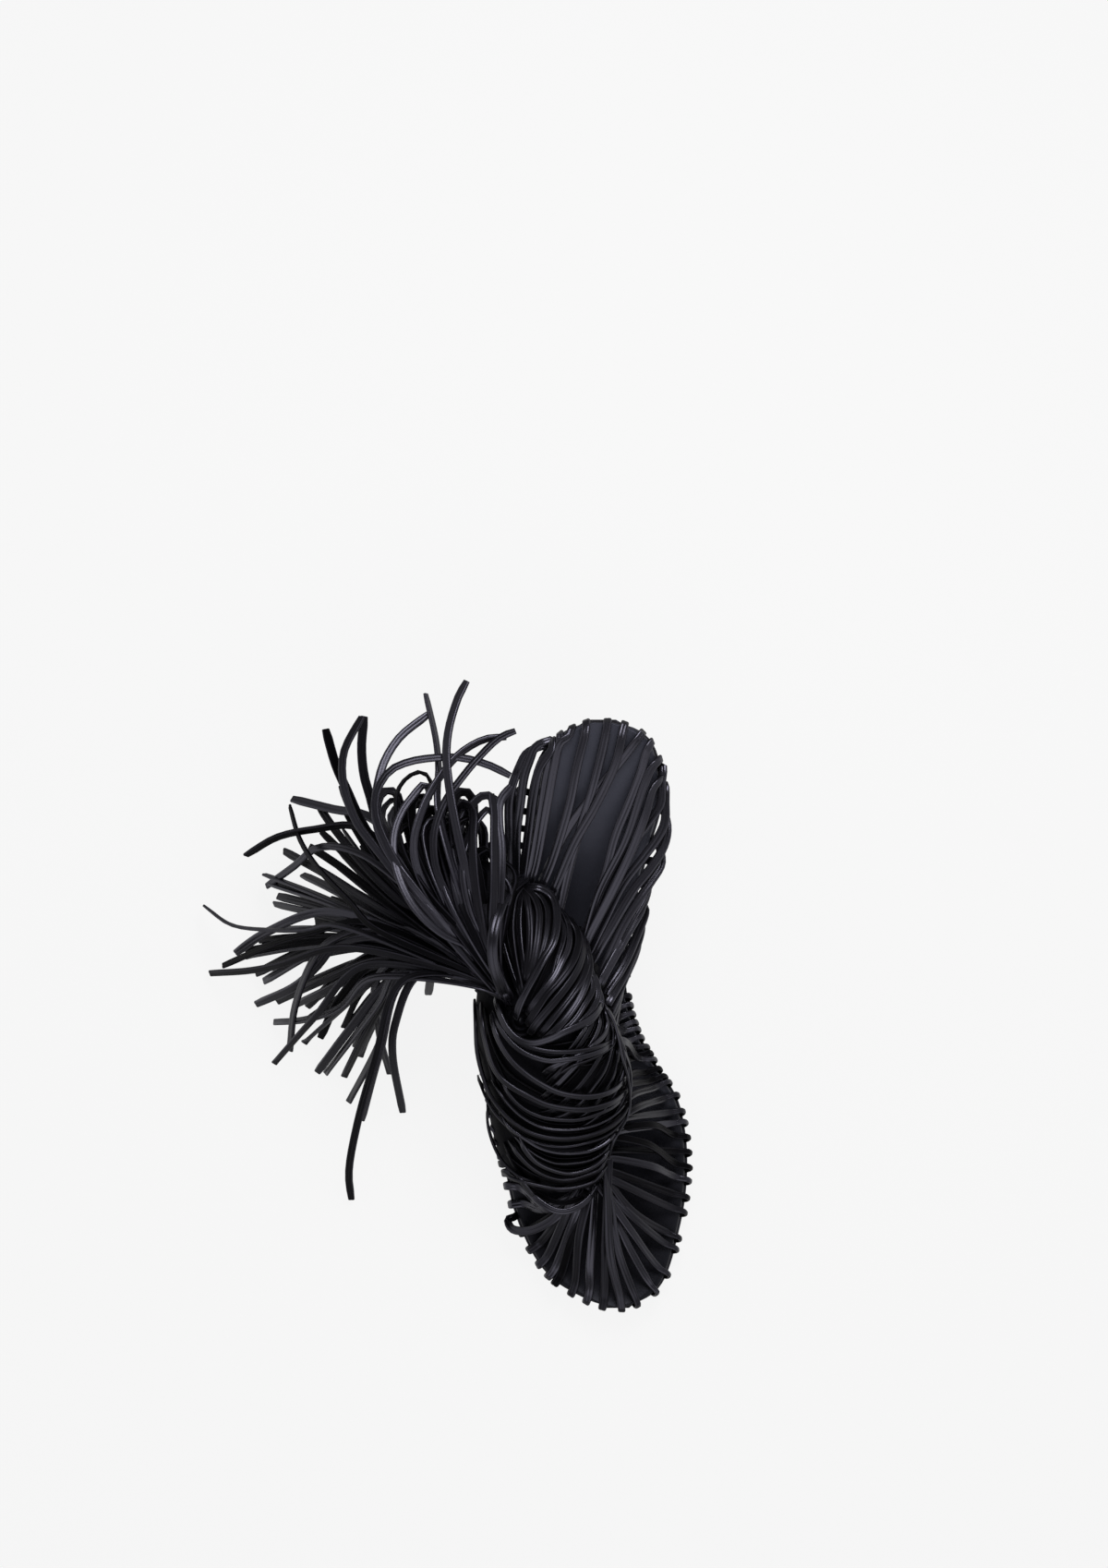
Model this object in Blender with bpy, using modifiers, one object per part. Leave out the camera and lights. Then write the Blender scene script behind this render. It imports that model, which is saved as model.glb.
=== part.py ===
"""High-heeled mule sandal, right foot: sole, heel, padded insole, a cage of leather strips, knot and fringe.

All sizes are in millimetres, and solid() turns them into metres. The heel is towards +Y, the toe towards -Y,
and the inner side of the foot towards +X. The floor is z = 0, and the origin is on it under the ball of the
foot.
"""

import math

import bmesh
import bpy
import numpy as np

MM = 0.001

# Layers of the sole, measured straight down from the top of the insole.
PAD = 4.2
SLOT = 2.6
OUTSOLE = 3.2
BALL_TOP = PAD + SLOT + OUTSOLE
EDGE_OUT = 1.2
REBATE = 8.5
CORE_MIN_WIDTH = 38.0
GAP = 0.3
DISH = 0.8
SOLE_EDGE_IN = 1.4
SOLE_EDGE_UP = 1.1

# Rounded edge of the insole's padding: in from the outline, and share of its height.
PAD_EDGE = ((0.6, 0.0), (0.0, 0.2), (0.0, 0.55), (0.7, 0.86), (2.2, 1.0))

# The line of the last, seen from the side.
HEEL_RISE = 75.0
RISE_FROM_Y = 16.0
RISE_TO_Y = 166.0
SEAT_SLOPE = 0.4
SPRING_FROM_Y = -15.0
TOE_SPRING = 4.0
SOLE_STATIONS = 30

# Outline of the insole: y of each section, then x of its outer and of its inner edge.
OUTLINE = (
    (172.7, -4.5, 4.0),
    (171.0, -10.0, 10.5),
    (167.0, -16.8, 16.4),
    (161.0, -21.8, 19.6),
    (152.0, -25.2, 21.0),
    (140.0, -27.3, 21.0),
    (126.0, -27.8, 17.2),
    (108.0, -27.6, 12.6),
    (90.0, -28.2, 9.4),
    (72.0, -29.6, 8.6),
    (56.0, -31.8, 12.6),
    (42.0, -33.8, 19.8),
    (28.0, -35.4, 28.6),
    (14.0, -36.2, 32.0),
    (0.0, -35.6, 32.7),
    (-14.0, -33.0, 31.5),
    (-26.0, -28.6, 29.0),
    (-36.0, -23.2, 26.4),
    (-43.0, -17.0, 23.6),
    (-48.0, -9.0, 19.6),
    (-51.0, -2.5, 14.5),
    (-52.5, 3.0, 10.0),
)

# Heel: height of each section, y of its middle, half its length and half its width.
HEEL_X = -3.0
TOP_PIECE = 4.0
HEEL = (
    (TOP_PIECE + GAP, 156.0, 9.5, 9.0),
    (20.0, 155.6, 9.8, 9.4),
    (38.0, 154.0, 12.0, 11.4),
    (56.0, 150.5, 17.5, 16.2),
    (74.0, 145.5, 25.0, 21.6),
    (94.0, 142.5, 29.0, 24.5),
)
HEEL_SIDES = 20
HEEL_SQUARENESS = 2.6

# Knot: y of each section, x of its outer and inner rim, height of the rim and of the crown.
KNOT = (
    (114.0, -36.0, -24.0, 69.0, 74.0),
    (103.0, -41.0, -15.0, 64.0, 81.0),
    (90.0, -45.5, -5.0, 57.0, 86.0),
    (73.0, -48.5, 4.0, 49.0, 88.0),
    (57.0, -49.5, 8.0, 42.0, 87.0),
    (43.0, -48.0, 10.6, 37.0, 81.0),
    (30.0, -45.5, 10.4, 33.0, 71.0),
    (16.0, -43.0, 7.0, 30.0, 59.0),
    (4.0, -39.0, 3.5, 28.0, 47.0),
    (-6.0, -31.0, -3.0, 27.0, 36.0),
)
KNOT_WALL = 3.4
KNOT_ROWS = 12
KNOT_ARCH = 10
CROWN_POWER = 0.8

# Strips of the cage, the same 3.6 mm folded strip all over.
STRIP_WIDTH = 3.6
STRIP_THICK = 1.8
STRIPS_A_SIDE = 35
TUCK = 4.2
LIP = 0.8
BULGE = 3.2
TURN_IN = 2.2
OVER_EDGE = 3.0
EDGE_LIFT = 1.1
CAGE_ARCH = 5.0
HEEL_ARCH = 2.0
CLEAR_OF_PAD = 2.4
LONG_STRIP = 45.0

# Where a strip from the edge meets the knot: y at the edge, y at the knot and degrees from its outer rim.
INNER_REACH = (
    (172.7, 113.0, 150.0),
    (166.5, 112.0, 160.0),
    (165.5, 95.0, 166.0),
    (142.0, 89.0, 166.0),
    (120.0, 80.0, 166.0),
    (103.0, 74.0, 166.0),
    (76.0, 65.0, 166.0),
    (42.0, 44.0, 166.0),
    (14.0, 23.0, 166.0),
    (-20.0, 8.0, 166.0),
    (-52.5, 0.0, 166.0),
)
OUTER_REACH = (
    (172.7, 113.0, 120.0),
    (160.0, 112.0, 40.0),
    (125.0, 110.0, 14.0),
    (90.0, 80.0, 14.0),
    (60.0, 51.0, 14.0),
    (30.0, 24.0, 14.0),
    (8.0, 6.0, 18.0),
    (-14.0, -3.0, 50.0),
    (-34.0, -4.5, 115.0),
    (-52.5, -3.0, 158.0),
)

# Strips raised on the knot, as points on its surface: y, then degrees from the outer rim to the inner one.
WRAPS = (
    ((80.0, 22.0), (55.0, 34.0), (47.0, 80.0), (50.0, 125.0), (66.0, 140.0)),
    ((75.0, 8.0), (44.0, 24.0), (29.0, 75.0), (30.0, 125.0), (48.0, 152.0)),
    ((60.0, 2.0), (32.0, 20.0), (19.0, 75.0), (18.0, 120.0), (32.0, 156.0)),
    ((40.0, 3.0), (16.0, 24.0), (8.0, 75.0), (8.0, 120.0), (18.0, 156.0)),
    ((26.0, 4.0), (6.0, 28.0), (0.0, 70.0), (1.0, 110.0), (8.0, 150.0)),
    ((112.0, 60.0), (98.0, 70.0), (84.0, 76.0), (76.0, 80.0), (70.0, 82.0)),
    ((111.0, 110.0), (100.0, 118.0), (88.0, 112.0), (76.0, 100.0), (66.0, 92.0)),
    ((104.0, 150.0), (92.0, 148.0), (80.0, 134.0), (68.0, 114.0), (59.0, 98.0)),
    ((94.0, 166.0), (82.0, 160.0), (68.0, 146.0), (58.0, 122.0), (52.0, 102.0)),
    ((80.0, 170.0), (68.0, 164.0), (56.0, 146.0), (48.0, 118.0), (46.0, 96.0)),
)
WRAP_RINGS = 7

# Fringe: a plug in the knot's hole, and strips that fan out of it.
HOLE_X = -30.0
HOLE_Y = 61.0
HOLE_RADIUS = 6.9
PLUG_RADIUS = 6.4
PLUG_FROM_Z = 77.0
PLUG_TO_Z = 91.0
PLUG_SIDES = 10
FRINGE_ROOT_Z = 88.5
FRINGE_RINGS = 6
FLOOR_CLEAR = 1.3
HIGHEST = 103.0

# The eye that sees the strips of the fringe from straight above.
EYE_X = -18.0
EYE_Y = 149.8
EYE_Z = 2000.0

# Guides of the fan from the root outwards: points over the floor as the eye sees them, then how far a strip
# arches up and the height of its tip.
FAN = (
    (((-34, 66), (-39, 77), (-38, 95), (-36, 113), (-37, 131)), 5.0, 84.0),
    (((-35, 67), (-41, 81), (-43, 99), (-43, 117), (-44, 139)), 9.0, 86.0),
    (((-36, 67), (-44, 83), (-50, 101), (-54, 121), (-53, 139), (-47, 144)), 13.0, 76.0),
    (((-37, 67), (-49, 86), (-58, 104), (-63, 124), (-62, 142), (-58, 153)), 14.0, 74.0),
    (((-37, 67), (-52, 88), (-65, 108), (-72, 126), (-70, 144), (-67, 151)), 14.0, 64.0),
    (((-37, 67), (-56, 90), (-72, 110), (-81, 130), (-85, 142), (-83, 147)), 13.0, 52.0),
    (((-37, 67), (-58, 88), (-77, 106), (-90, 122), (-99, 139), (-102, 153)), 11.0, 40.0),
    (((-38, 68), (-59, 86), (-83, 103), (-101, 117), (-115, 126)), 9.0, 26.0),
    (((-38, 68), (-61, 85), (-86, 95), (-108, 104), (-126, 110)), 7.0, 14.0),
    (((-38, 68), (-63, 82), (-90, 90), (-115, 92), (-137, 90)), 6.0, 7.0),
    (((-38, 68), (-65, 79), (-90, 85), (-115, 81), (-135, 75)), 5.0, 4.0),
    (((-38, 68), (-65, 77), (-86, 79), (-108, 68), (-126, 58)), 4.0, 3.0),
    (((-38, 68), (-63, 77), (-81, 74), (-95, 58), (-108, 41)), 3.0, 2.6),
    (((-38, 68), (-61, 76), (-76, 72), (-85, 56), (-92, 34)), 2.0, 2.6),
)
FAN_STRIPS = 18

# Strips that stand out of the fan, in the same terms.
LONG_STRIPS = (
    (((-38, 68), (-90, 130), (-99, 148), (-107, 171)), 12.0, 58.0),
    (((-38, 68), (-84, 128), (-92, 153), (-92, 176)), 12.0, 71.0),
    (((-38, 68), (-63, 139), (-64, 167), (-68, 185)), 11.0, 86.0),
    (((-38, 68), (-60, 160), (-56, 182), (-52, 190)), 10.0, 89.0),
    (((-38, 68), (-62, 120), (-58, 149), (-33, 170)), 9.0, 92.0),
    (((-38, 68), (-76, 122), (-104, 140), (-120, 144)), 10.0, 36.0),
    (((-38, 68), (-78, 118), (-112, 132), (-138, 122)), 8.0, 17.0),
    (((-38, 68), (-104, 95), (-130, 93), (-154, 102)), 6.0, 9.0),
    (((-38, 68), (-100, 86), (-126, 79), (-152, 76)), 5.0, 4.0),
    (((-38, 68), (-92, 79), (-112, 58), (-127, 41)), 4.0, 2.9),
    (((-38, 68), (-76, 77), (-86, 49), (-98, 26)), 3.7, 2.6),
    (((-38, 68), (-76, 74), (-95, 16), (-97, -12)), 3.2, 2.6),
)


def clear_scene():
    for obj in list(bpy.data.objects):
        bpy.data.objects.remove(obj, do_unlink=True)


def spline(rows, steps):
    """Rows of numbers, read at these steps (0 at the first row) along a smooth curve through them."""
    rows = np.asarray(rows, float)
    ends = np.vstack([2 * rows[0] - rows[1], rows, 2 * rows[-1] - rows[-2]])
    steps = np.clip(np.asarray(steps, float), 0, len(rows) - 1)
    low = np.minimum(steps.astype(int), len(rows) - 2)
    t = (steps - low)[:, None]
    a, b, c, d = (ends[low + i] for i in range(4))
    return b + 0.5 * t * (c - a + t * (2 * a - 5 * b + 4 * c - d + t * (3 * (b - c) + d - a)))


def evenly(rows, count):
    """count points, evenly spaced along the smooth curve through these rows."""
    fine = spline(rows, np.linspace(0, len(rows) - 1, 24 * len(rows)))
    length = np.append(0, np.cumsum(np.linalg.norm(np.diff(fine, axis=0), axis=1)))
    at = np.linspace(0, length[-1], count)
    return np.column_stack([np.interp(at, length, column) for column in fine.T])


def insole_top(y):
    """Height of the top of the insole above the floor."""
    t = np.clip((y - RISE_FROM_Y) / (RISE_TO_Y - RISE_FROM_Y), 0, None)
    rise = np.where(
        t < 1,
        3 * t**2 - 2 * t**3 + SEAT_SLOPE * (t**3 - t**2),
        1 + SEAT_SLOPE * (t - 1),
    )
    toe = np.clip((SPRING_FROM_Y - y) / (SPRING_FROM_Y - OUTLINE[-1][0]), 0, None)
    return BALL_TOP + HEEL_RISE * rise + TOE_SPRING * toe**2


def slot_middle(y):
    return insole_top(y) - PAD - SLOT / 2


def stations():
    """y, outer x and inner x of each section of the sole."""
    return spline(OUTLINE, np.linspace(0, len(OUTLINE) - 1, SOLE_STATIONS))


def collection(name, hidden=False):
    made = bpy.data.collections.new(name)
    made.hide_render = hidden
    bpy.context.scene.collection.children.link(made)
    return made


def material(name, colour, roughness):
    made = bpy.data.materials.new(name)
    made.use_nodes = True
    shader = made.node_tree.nodes["Principled BSDF"]
    shader.inputs["Base Color"].default_value = (*colour, 1.0)
    shader.inputs["Roughness"].default_value = roughness
    shader.inputs["Metallic"].default_value = 0.0
    made.diffuse_color = (*colour, 1.0)
    return made


def solid(name, group, bm, look=None):
    """An object of this bmesh, whose points are in millimetres."""
    bmesh.ops.scale(bm, vec=(MM, MM, MM), verts=bm.verts)
    bmesh.ops.recalc_face_normals(bm, faces=bm.faces)
    bmesh.ops.triangulate(bm, faces=bm.faces)
    mesh = bpy.data.meshes.new(name)
    bm.to_mesh(mesh)
    bm.free()
    made = bpy.data.objects.new(name, mesh)
    group.objects.link(made)
    if look:
        mesh.materials.append(look)
    else:
        made.hide_render = True
        made.display_type = "WIRE"
    return made


def skin(rings, closed_ring=True, caps=True):
    """A bmesh of the surface through rings of points."""
    bm = bmesh.new()
    loops = [[bm.verts.new(point) for point in ring] for ring in rings]
    for first, second in zip(loops, loops[1:]):
        for i in range(len(first) if closed_ring else len(first) - 1):
            j = (i + 1) % len(first)
            bm.faces.new((first[i], first[j], second[j], second[i]))
    if caps:
        bm.faces.new(loops[0])
        bm.faces.new(loops[-1])
    return bm


def boolean(target, operation, tool=None, tools=None):
    made = target.modifiers.new(operation.title(), "BOOLEAN")
    made.operation = operation
    made.solver = "EXACT"
    if tools:
        made.operand_type = "COLLECTION"
        made.collection = tools
    else:
        made.object = tool


def islands(bm):
    """The groups of faces that hang together along edges."""
    left = set(bm.faces)
    while left:
        group = set()
        front = {left.pop()}
        while front:
            group |= front
            near = {other for face in front for edge in face.edges for other in edge.link_faces}
            front = near - group
        left -= group
        yield group


def keep_outer_skin(obj):
    """Applies the Booleans, and fills the small voids that crossing strips enclose."""
    bm = bmesh.new()
    bm.from_object(obj, bpy.context.evaluated_depsgraph_get())
    obj.modifiers.clear()
    outer = max(islands(bm), key=len)
    bmesh.ops.delete(bm, geom=[face for face in bm.faces if face not in outer], context="FACES")
    bm.to_mesh(obj.data)
    bm.free()


def pad_ring(y, outer, inner):
    """Section of the padded top of the insole: rounded edge, slightly dished."""
    top = insole_top(y)
    low = top - PAD
    left = [(outer + x, y, low + PAD * share) for x, share in PAD_EDGE]
    right = [(inner - x, y, low + PAD * share) for x, share in PAD_EDGE]
    dish = DISH * min(1.0, (inner - outer) / CORE_MIN_WIDTH)
    return left + [((outer + inner) / 2, y, top - dish)] + right[::-1]


def core_ring(y, outer, inner):
    """Section of the middle of the insole, which goes down to the outsole between the strip ends."""
    low = insole_top(y) - PAD - SLOT + GAP
    high = low + SLOT + PAD / 3
    x0 = outer + REBATE
    x1 = inner - REBATE
    return [(x0, y, low), (x0, y, high), (x1, y, high), (x1, y, low)]


def outsole_ring(y, outer, inner):
    top = insole_top(y) - PAD - SLOT
    low = top - OUTSOLE
    x0 = outer - EDGE_OUT
    x1 = inner + EDGE_OUT
    left = [(x0 + SOLE_EDGE_IN, y, low), (x0, y, low + SOLE_EDGE_UP), (x0, y, top)]
    right = [(x1, y, top), (x1, y, low + SOLE_EDGE_UP), (x1 - SOLE_EDGE_IN, y, low)]
    return left + right


def make_insole(group, tools, look):
    rows = stations()
    pad = solid("insole", group, skin([pad_ring(*row) for row in rows]), look)
    wide = [row for row in rows if row[2] - row[1] > CORE_MIN_WIDTH]
    core = solid("insole_core", tools, skin([core_ring(*row) for row in wide]))
    boolean(pad, "UNION", core)


def make_outsole(group, look):
    rows = stations()
    rows[0, 0] += EDGE_OUT
    rows[-1, 0] -= EDGE_OUT
    return solid("outsole", group, skin([outsole_ring(*row) for row in rows]), look)


def heel_ring(z, middle, half_length, half_width):
    ring = []
    for turn in np.linspace(0, 2 * math.pi, HEEL_SIDES, endpoint=False):
        c = math.cos(turn)
        s = math.sin(turn)
        x = half_width * math.copysign(abs(c) ** (2 / HEEL_SQUARENESS), c)
        y = half_length * math.copysign(abs(s) ** (2 / HEEL_SQUARENESS), s)
        ring.append((HEEL_X + x, middle + y, z))
    return ring


def above_heel_ring(y, outer, inner):
    """Section of the room above the heel, from just under the outsole up."""
    low = insole_top(y) - BALL_TOP - GAP
    high = HEEL[-1][0] + BALL_TOP
    x0 = outer - REBATE
    x1 = inner + REBATE
    return [(x0, y, low), (x0, y, high), (x1, y, high), (x1, y, low)]


def make_heel(group, tools, look, rubber):
    heel = solid("heel", group, skin([heel_ring(*row) for row in HEEL]), look)
    rows = stations()
    rows[0, 0] += BALL_TOP
    above = solid("above_heel", tools, skin([above_heel_ring(*row) for row in rows]))
    boolean(heel, "DIFFERENCE", above)
    tip = HEEL[0][1:]
    solid("heel_top_piece", group, skin([heel_ring(0.0, *tip), heel_ring(TOP_PIECE, *tip)]), rubber)


def knot_row(y):
    """Outer x, inner x, rim and crown of the knot's section at y."""
    ys = [row[0] for row in KNOT]
    step = np.interp(-y, [-value for value in ys], range(len(ys)))
    return spline(KNOT, [step])[0, 1:]


def knot_point(y, degrees, depth=0.0):
    """A point of the knot's surface, depth below it: 0 degrees is the outer rim, 180 the inner one."""
    outer, inner, rim, crown = knot_row(y)
    turn = math.radians(degrees)
    side = math.cos(turn)
    up = math.sin(turn)
    x = (outer + inner) / 2 - (inner - outer) / 2 * side
    z = rim + (crown - rim) * up**CROWN_POWER
    return np.array((x + depth * side, y, z - depth * up))


def make_knot(group, look):
    """The coiled strips as one hollow dome, open underneath."""
    ys = spline(KNOT, np.linspace(0, len(KNOT) - 1, KNOT_ROWS))[:, 0]
    turns = np.linspace(0, 180, KNOT_ARCH)
    surface = skin([[knot_point(y, turn) for turn in turns] for y in ys], closed_ring=False, caps=False)
    knot = solid("upper", group, surface, look)
    wall = knot.modifiers.new("Wall", "SOLIDIFY")
    wall.thickness = KNOT_WALL * MM
    wall.offset = -1.0
    wall.use_even_offset = True
    knot.modifiers.new("Flat faces", "TRIANGULATE")
    return knot


def strip_rings(path, across):
    """Rectangular sections of a strip along a path, flat in the direction across."""
    path = np.asarray(path, float)
    along = np.gradient(path, axis=0)
    along /= np.linalg.norm(along, axis=1)[:, None]
    flat = across - (across * along).sum(axis=1)[:, None] * along
    flat *= STRIP_WIDTH / 2 / np.linalg.norm(flat, axis=1)[:, None]
    thick = np.cross(along, flat)
    thick *= STRIP_THICK / 2 / np.linalg.norm(thick, axis=1)[:, None]
    corners = ((1, 1), (1, -1), (-1, -1), (-1, 1))
    return [[path[i] + a * flat[i] + b * thick[i] for a, b in corners] for i in range(len(path))]


def edge_points(inner_side, count):
    """Even points of one edge of the insole, heel to toe, with the tangent and outward direction there."""
    rows = np.array(OUTLINE)
    middle_x = rows[[0, -1], 1:].mean(axis=1)
    edge = rows[:, [2 if inner_side else 1, 0]]
    edge = np.vstack([(middle_x[0], rows[0, 0]), edge, (middle_x[1], rows[-1, 0])])
    points = evenly(edge, 2 * count + 1)
    along = np.gradient(points, axis=0)
    along /= np.linalg.norm(along, axis=1)[:, None]
    out = np.column_stack([-along[:, 1], along[:, 0]])
    if not inner_side:
        out = -out
    return [(points[i], along[i], out[i]) for i in range(1, 2 * count, 2)]


def cage_strip(edge, along, out, inner_side):
    """Path of one strip: from under the insole, round its edge and over the foot into the knot's wall."""
    reach = np.array(INNER_REACH if inner_side else OUTER_REACH)
    knot_y, degrees = (np.interp(-edge[1], -reach[:, 0], column) for column in reach.T[1:])
    end = knot_point(knot_y, degrees, KNOT_WALL / 2)
    inward = end[:2] - edge
    inward = inward / np.linalg.norm(inward) - out
    inward /= np.linalg.norm(inward)
    top = insole_top(edge[1])
    path = []
    for away, level in ((-TUCK, 0.0), (LIP, 0.0), (BULGE, PAD / 2 + SLOT / 2)):
        x, y = edge + out * away
        path.append((x, y, slot_middle(y) + level))
    path.append((*(edge + out * TURN_IN), top + EDGE_LIFT + STRIP_THICK / 2))
    over = np.array((*(edge + inward * OVER_EDGE), top + CLEAR_OF_PAD + STRIP_THICK / 2))
    path.append(over)
    arch = HEEL_ARCH if edge[1] > RISE_TO_Y / 2 else CAGE_ARCH
    shares = (0.33, 0.67) if np.linalg.norm(end - over) > LONG_STRIP else (0.5,)
    for share in shares:
        point = over + share * (end - over)
        point[2] += arch * math.sin(math.pi * share)
        point[2] = max(point[2], insole_top(point[1]) + CLEAR_OF_PAD)
        path.append(point)
    path.append(end)
    slope = (slot_middle(edge[1] + 1) - slot_middle(edge[1] - 1)) / 2
    at_edge = np.array((*along, slope * along[1]))
    level = np.array((end[1] - edge[1], edge[0] - end[0], 0.0))
    level *= np.sign(level @ at_edge) / np.linalg.norm(level)
    share = np.array((0, 0, 0, 0, 0.2, *shares, 1.0))[:, None]
    return path, at_edge * (1 - share) + level * share


def wrap_strip(route):
    """Path of one strip raised on the knot, and its flat direction."""
    rows = evenly(route, WRAP_RINGS)
    path = np.array([knot_point(y, degrees) for y, degrees in rows])
    below = np.array([knot_point(y, degrees, 1.0) for y, degrees in rows])
    return path, np.cross(np.gradient(path, axis=0), path - below)


def upright(radius, low, high):
    """A cylinder where the fringe comes out of the knot."""
    bm = bmesh.new()
    bmesh.ops.create_cone(
        bm, cap_ends=True, segments=PLUG_SIDES, radius1=radius, radius2=radius, depth=high - low
    )
    bmesh.ops.translate(bm, vec=(HOLE_X, HOLE_Y, (low + high) / 2), verts=bm.verts)
    return bm


def make_upper(group, tools, look):
    knot = make_knot(group, look)
    hole = solid("knot_hole", tools, upright(HOLE_RADIUS, PLUG_FROM_Z - KNOT_WALL, PLUG_TO_Z + KNOT_WALL))
    strips = collection("strips_of_the_upper", hidden=True)
    paths = [wrap_strip(route) for route in WRAPS]
    for inner_side in (True, False):
        for edge in edge_points(inner_side, STRIPS_A_SIDE):
            paths.append(cage_strip(*edge, inner_side))
    for path, across in paths:
        solid("strip", strips, skin(strip_rings(path, across)))
    boolean(knot, "UNION", tools=strips)
    boolean(knot, "DIFFERENCE", hole)
    keep_outer_skin(knot)


def fringe_rows():
    """Plan, arch and tip height of every strip: even steps of the fan, then those that stand out."""
    rows = [np.append(evenly(plan, FRINGE_RINGS), (arch, tip)) for plan, arch, tip in FAN]
    fan = spline(rows, np.linspace(0, len(FAN) - 1, FAN_STRIPS))
    return [(row[:-2].reshape(-1, 2), *row[-2:]) for row in fan] + list(LONG_STRIPS)


def fringe_strip(plan, arch, tip):
    """Path of one strip of the fringe, out of the plug, and its flat direction."""
    eye = np.array((EYE_X, EYE_Y))
    hole = eye + (np.array((HOLE_X, HOLE_Y)) - eye) / (1 - FRINGE_ROOT_Z / EYE_Z)
    path = []
    for t, seen in zip(np.linspace(0, 1, FRINGE_RINGS), evenly(np.vstack([hole, plan]), FRINGE_RINGS)):
        fall = FRINGE_ROOT_Z + (tip - FRINGE_ROOT_Z) * t**2
        z = min(HIGHEST, max(FLOOR_CLEAR, fall + arch * math.sin(math.pi * t) ** 1.4))
        path.append((*(eye + (seen - eye) * (1 - z / EYE_Z)), z))
    level = np.gradient(np.array(path), axis=0)
    return path, np.column_stack([level[:, 1], -level[:, 0], np.zeros(len(level))])


def make_fringe(group, look):
    fringe = solid("fringe", group, upright(PLUG_RADIUS, PLUG_FROM_Z, PLUG_TO_Z), look)
    strips = collection("strips_of_the_fringe", hidden=True)
    for row in fringe_rows():
        solid("strip", strips, skin(strip_rings(*fringe_strip(*row))))
    boolean(fringe, "UNION", tools=strips)
    keep_outer_skin(fringe)


def main():
    clear_scene()
    group = collection("mule_sandal")
    tools = collection("cutters", hidden=True)
    footbed = material("footbed_leather", (0.03, 0.031, 0.036), 0.42)
    sole_leather = material("sole_leather", (0.02, 0.019, 0.019), 0.55)
    strip_leather = material("strip_leather", (0.024, 0.022, 0.023), 0.45)
    fringe_leather = material("fringe_leather", (0.026, 0.023, 0.026), 0.45)
    heel_cover = material("heel_cover", (0.022, 0.021, 0.021), 0.4)
    rubber = material("top_piece_rubber", (0.015, 0.015, 0.015), 0.8)
    make_outsole(group, sole_leather)
    make_insole(group, tools, footbed)
    make_heel(group, tools, heel_cover, rubber)
    make_upper(group, tools, strip_leather)
    make_fringe(group, fringe_leather)


main()
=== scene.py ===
"""Looks of a high-heeled mule sandal: padded footbed, caged strips, coiled knot and fringe.

Tables are in millimetres and Bundle, loft and the operators turn them into metres. The heel is towards +Y,
the toe towards -Y, the inner side of the foot towards +X, and the floor is z = 0. Plan tables give points as
the camera straight above sees them over the floor; seen_at() moves them to their real height.
"""

import math

import bmesh
import bpy
import numpy as np
from bpy.props import FloatProperty, FloatVectorProperty, IntProperty, PointerProperty
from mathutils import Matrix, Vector


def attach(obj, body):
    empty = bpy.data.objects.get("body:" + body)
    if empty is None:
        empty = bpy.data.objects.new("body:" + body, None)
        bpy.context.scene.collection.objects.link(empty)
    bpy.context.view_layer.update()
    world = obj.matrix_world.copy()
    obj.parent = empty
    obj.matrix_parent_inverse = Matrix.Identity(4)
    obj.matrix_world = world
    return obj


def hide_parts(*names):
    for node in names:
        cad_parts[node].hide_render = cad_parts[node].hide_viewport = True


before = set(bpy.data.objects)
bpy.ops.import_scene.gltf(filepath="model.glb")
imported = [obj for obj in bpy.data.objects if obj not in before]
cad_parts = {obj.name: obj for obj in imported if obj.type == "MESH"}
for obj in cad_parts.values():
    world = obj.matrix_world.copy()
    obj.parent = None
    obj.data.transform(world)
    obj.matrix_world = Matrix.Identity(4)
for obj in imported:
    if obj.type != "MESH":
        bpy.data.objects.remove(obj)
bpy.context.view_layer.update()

MM = 0.001

bl_info = {
    "name": "Mule Sandal",
    "version": (1, 0, 0),
    "blender": (4, 5, 0),
    "location": "3D View > Sidebar > Mule",
    "description": "Dresses the solids of a caged high-heeled mule sandal in leather strips",
    "category": "Object",
}

# Layers of the sole, the same as in the solids.
PAD = 4.2
SLOT = 2.6
OUTSOLE = 3.2
BALL_TOP = PAD + SLOT + OUTSOLE
EDGE_OUT = 1.2
REBATE = 8.5
CORE_FROM_WIDTH = 24.0
CORE_FULL_WIDTH = 38.0
GAP = 0.3
DISH = 0.8
HEEL_RISE = 75.0
RISE_FROM_Y = 16.0
RISE_TO_Y = 166.0
SEAT_SLOPE = 0.4
SPRING_FROM_Y = -15.0
TOE_SPRING = 4.0

# Outline of the insole: y of each section, then x of its outer and of its inner edge.
OUTLINE = (
    (172.7, -4.5, 4.0),
    (171.0, -10.0, 10.5),
    (167.0, -16.8, 16.4),
    (161.0, -21.8, 19.6),
    (152.0, -25.2, 21.0),
    (140.0, -27.3, 21.0),
    (126.0, -27.8, 17.2),
    (108.0, -27.6, 12.6),
    (90.0, -28.2, 9.4),
    (72.0, -29.6, 8.6),
    (56.0, -31.8, 12.6),
    (42.0, -33.8, 19.8),
    (28.0, -35.4, 28.6),
    (14.0, -36.2, 32.0),
    (0.0, -35.6, 32.7),
    (-14.0, -33.0, 31.5),
    (-26.0, -28.6, 29.0),
    (-36.0, -23.2, 26.4),
    (-43.0, -17.0, 23.6),
    (-48.0, -9.0, 19.6),
    (-51.0, -2.5, 14.5),
    (-52.5, 3.0, 10.0),
)

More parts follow.
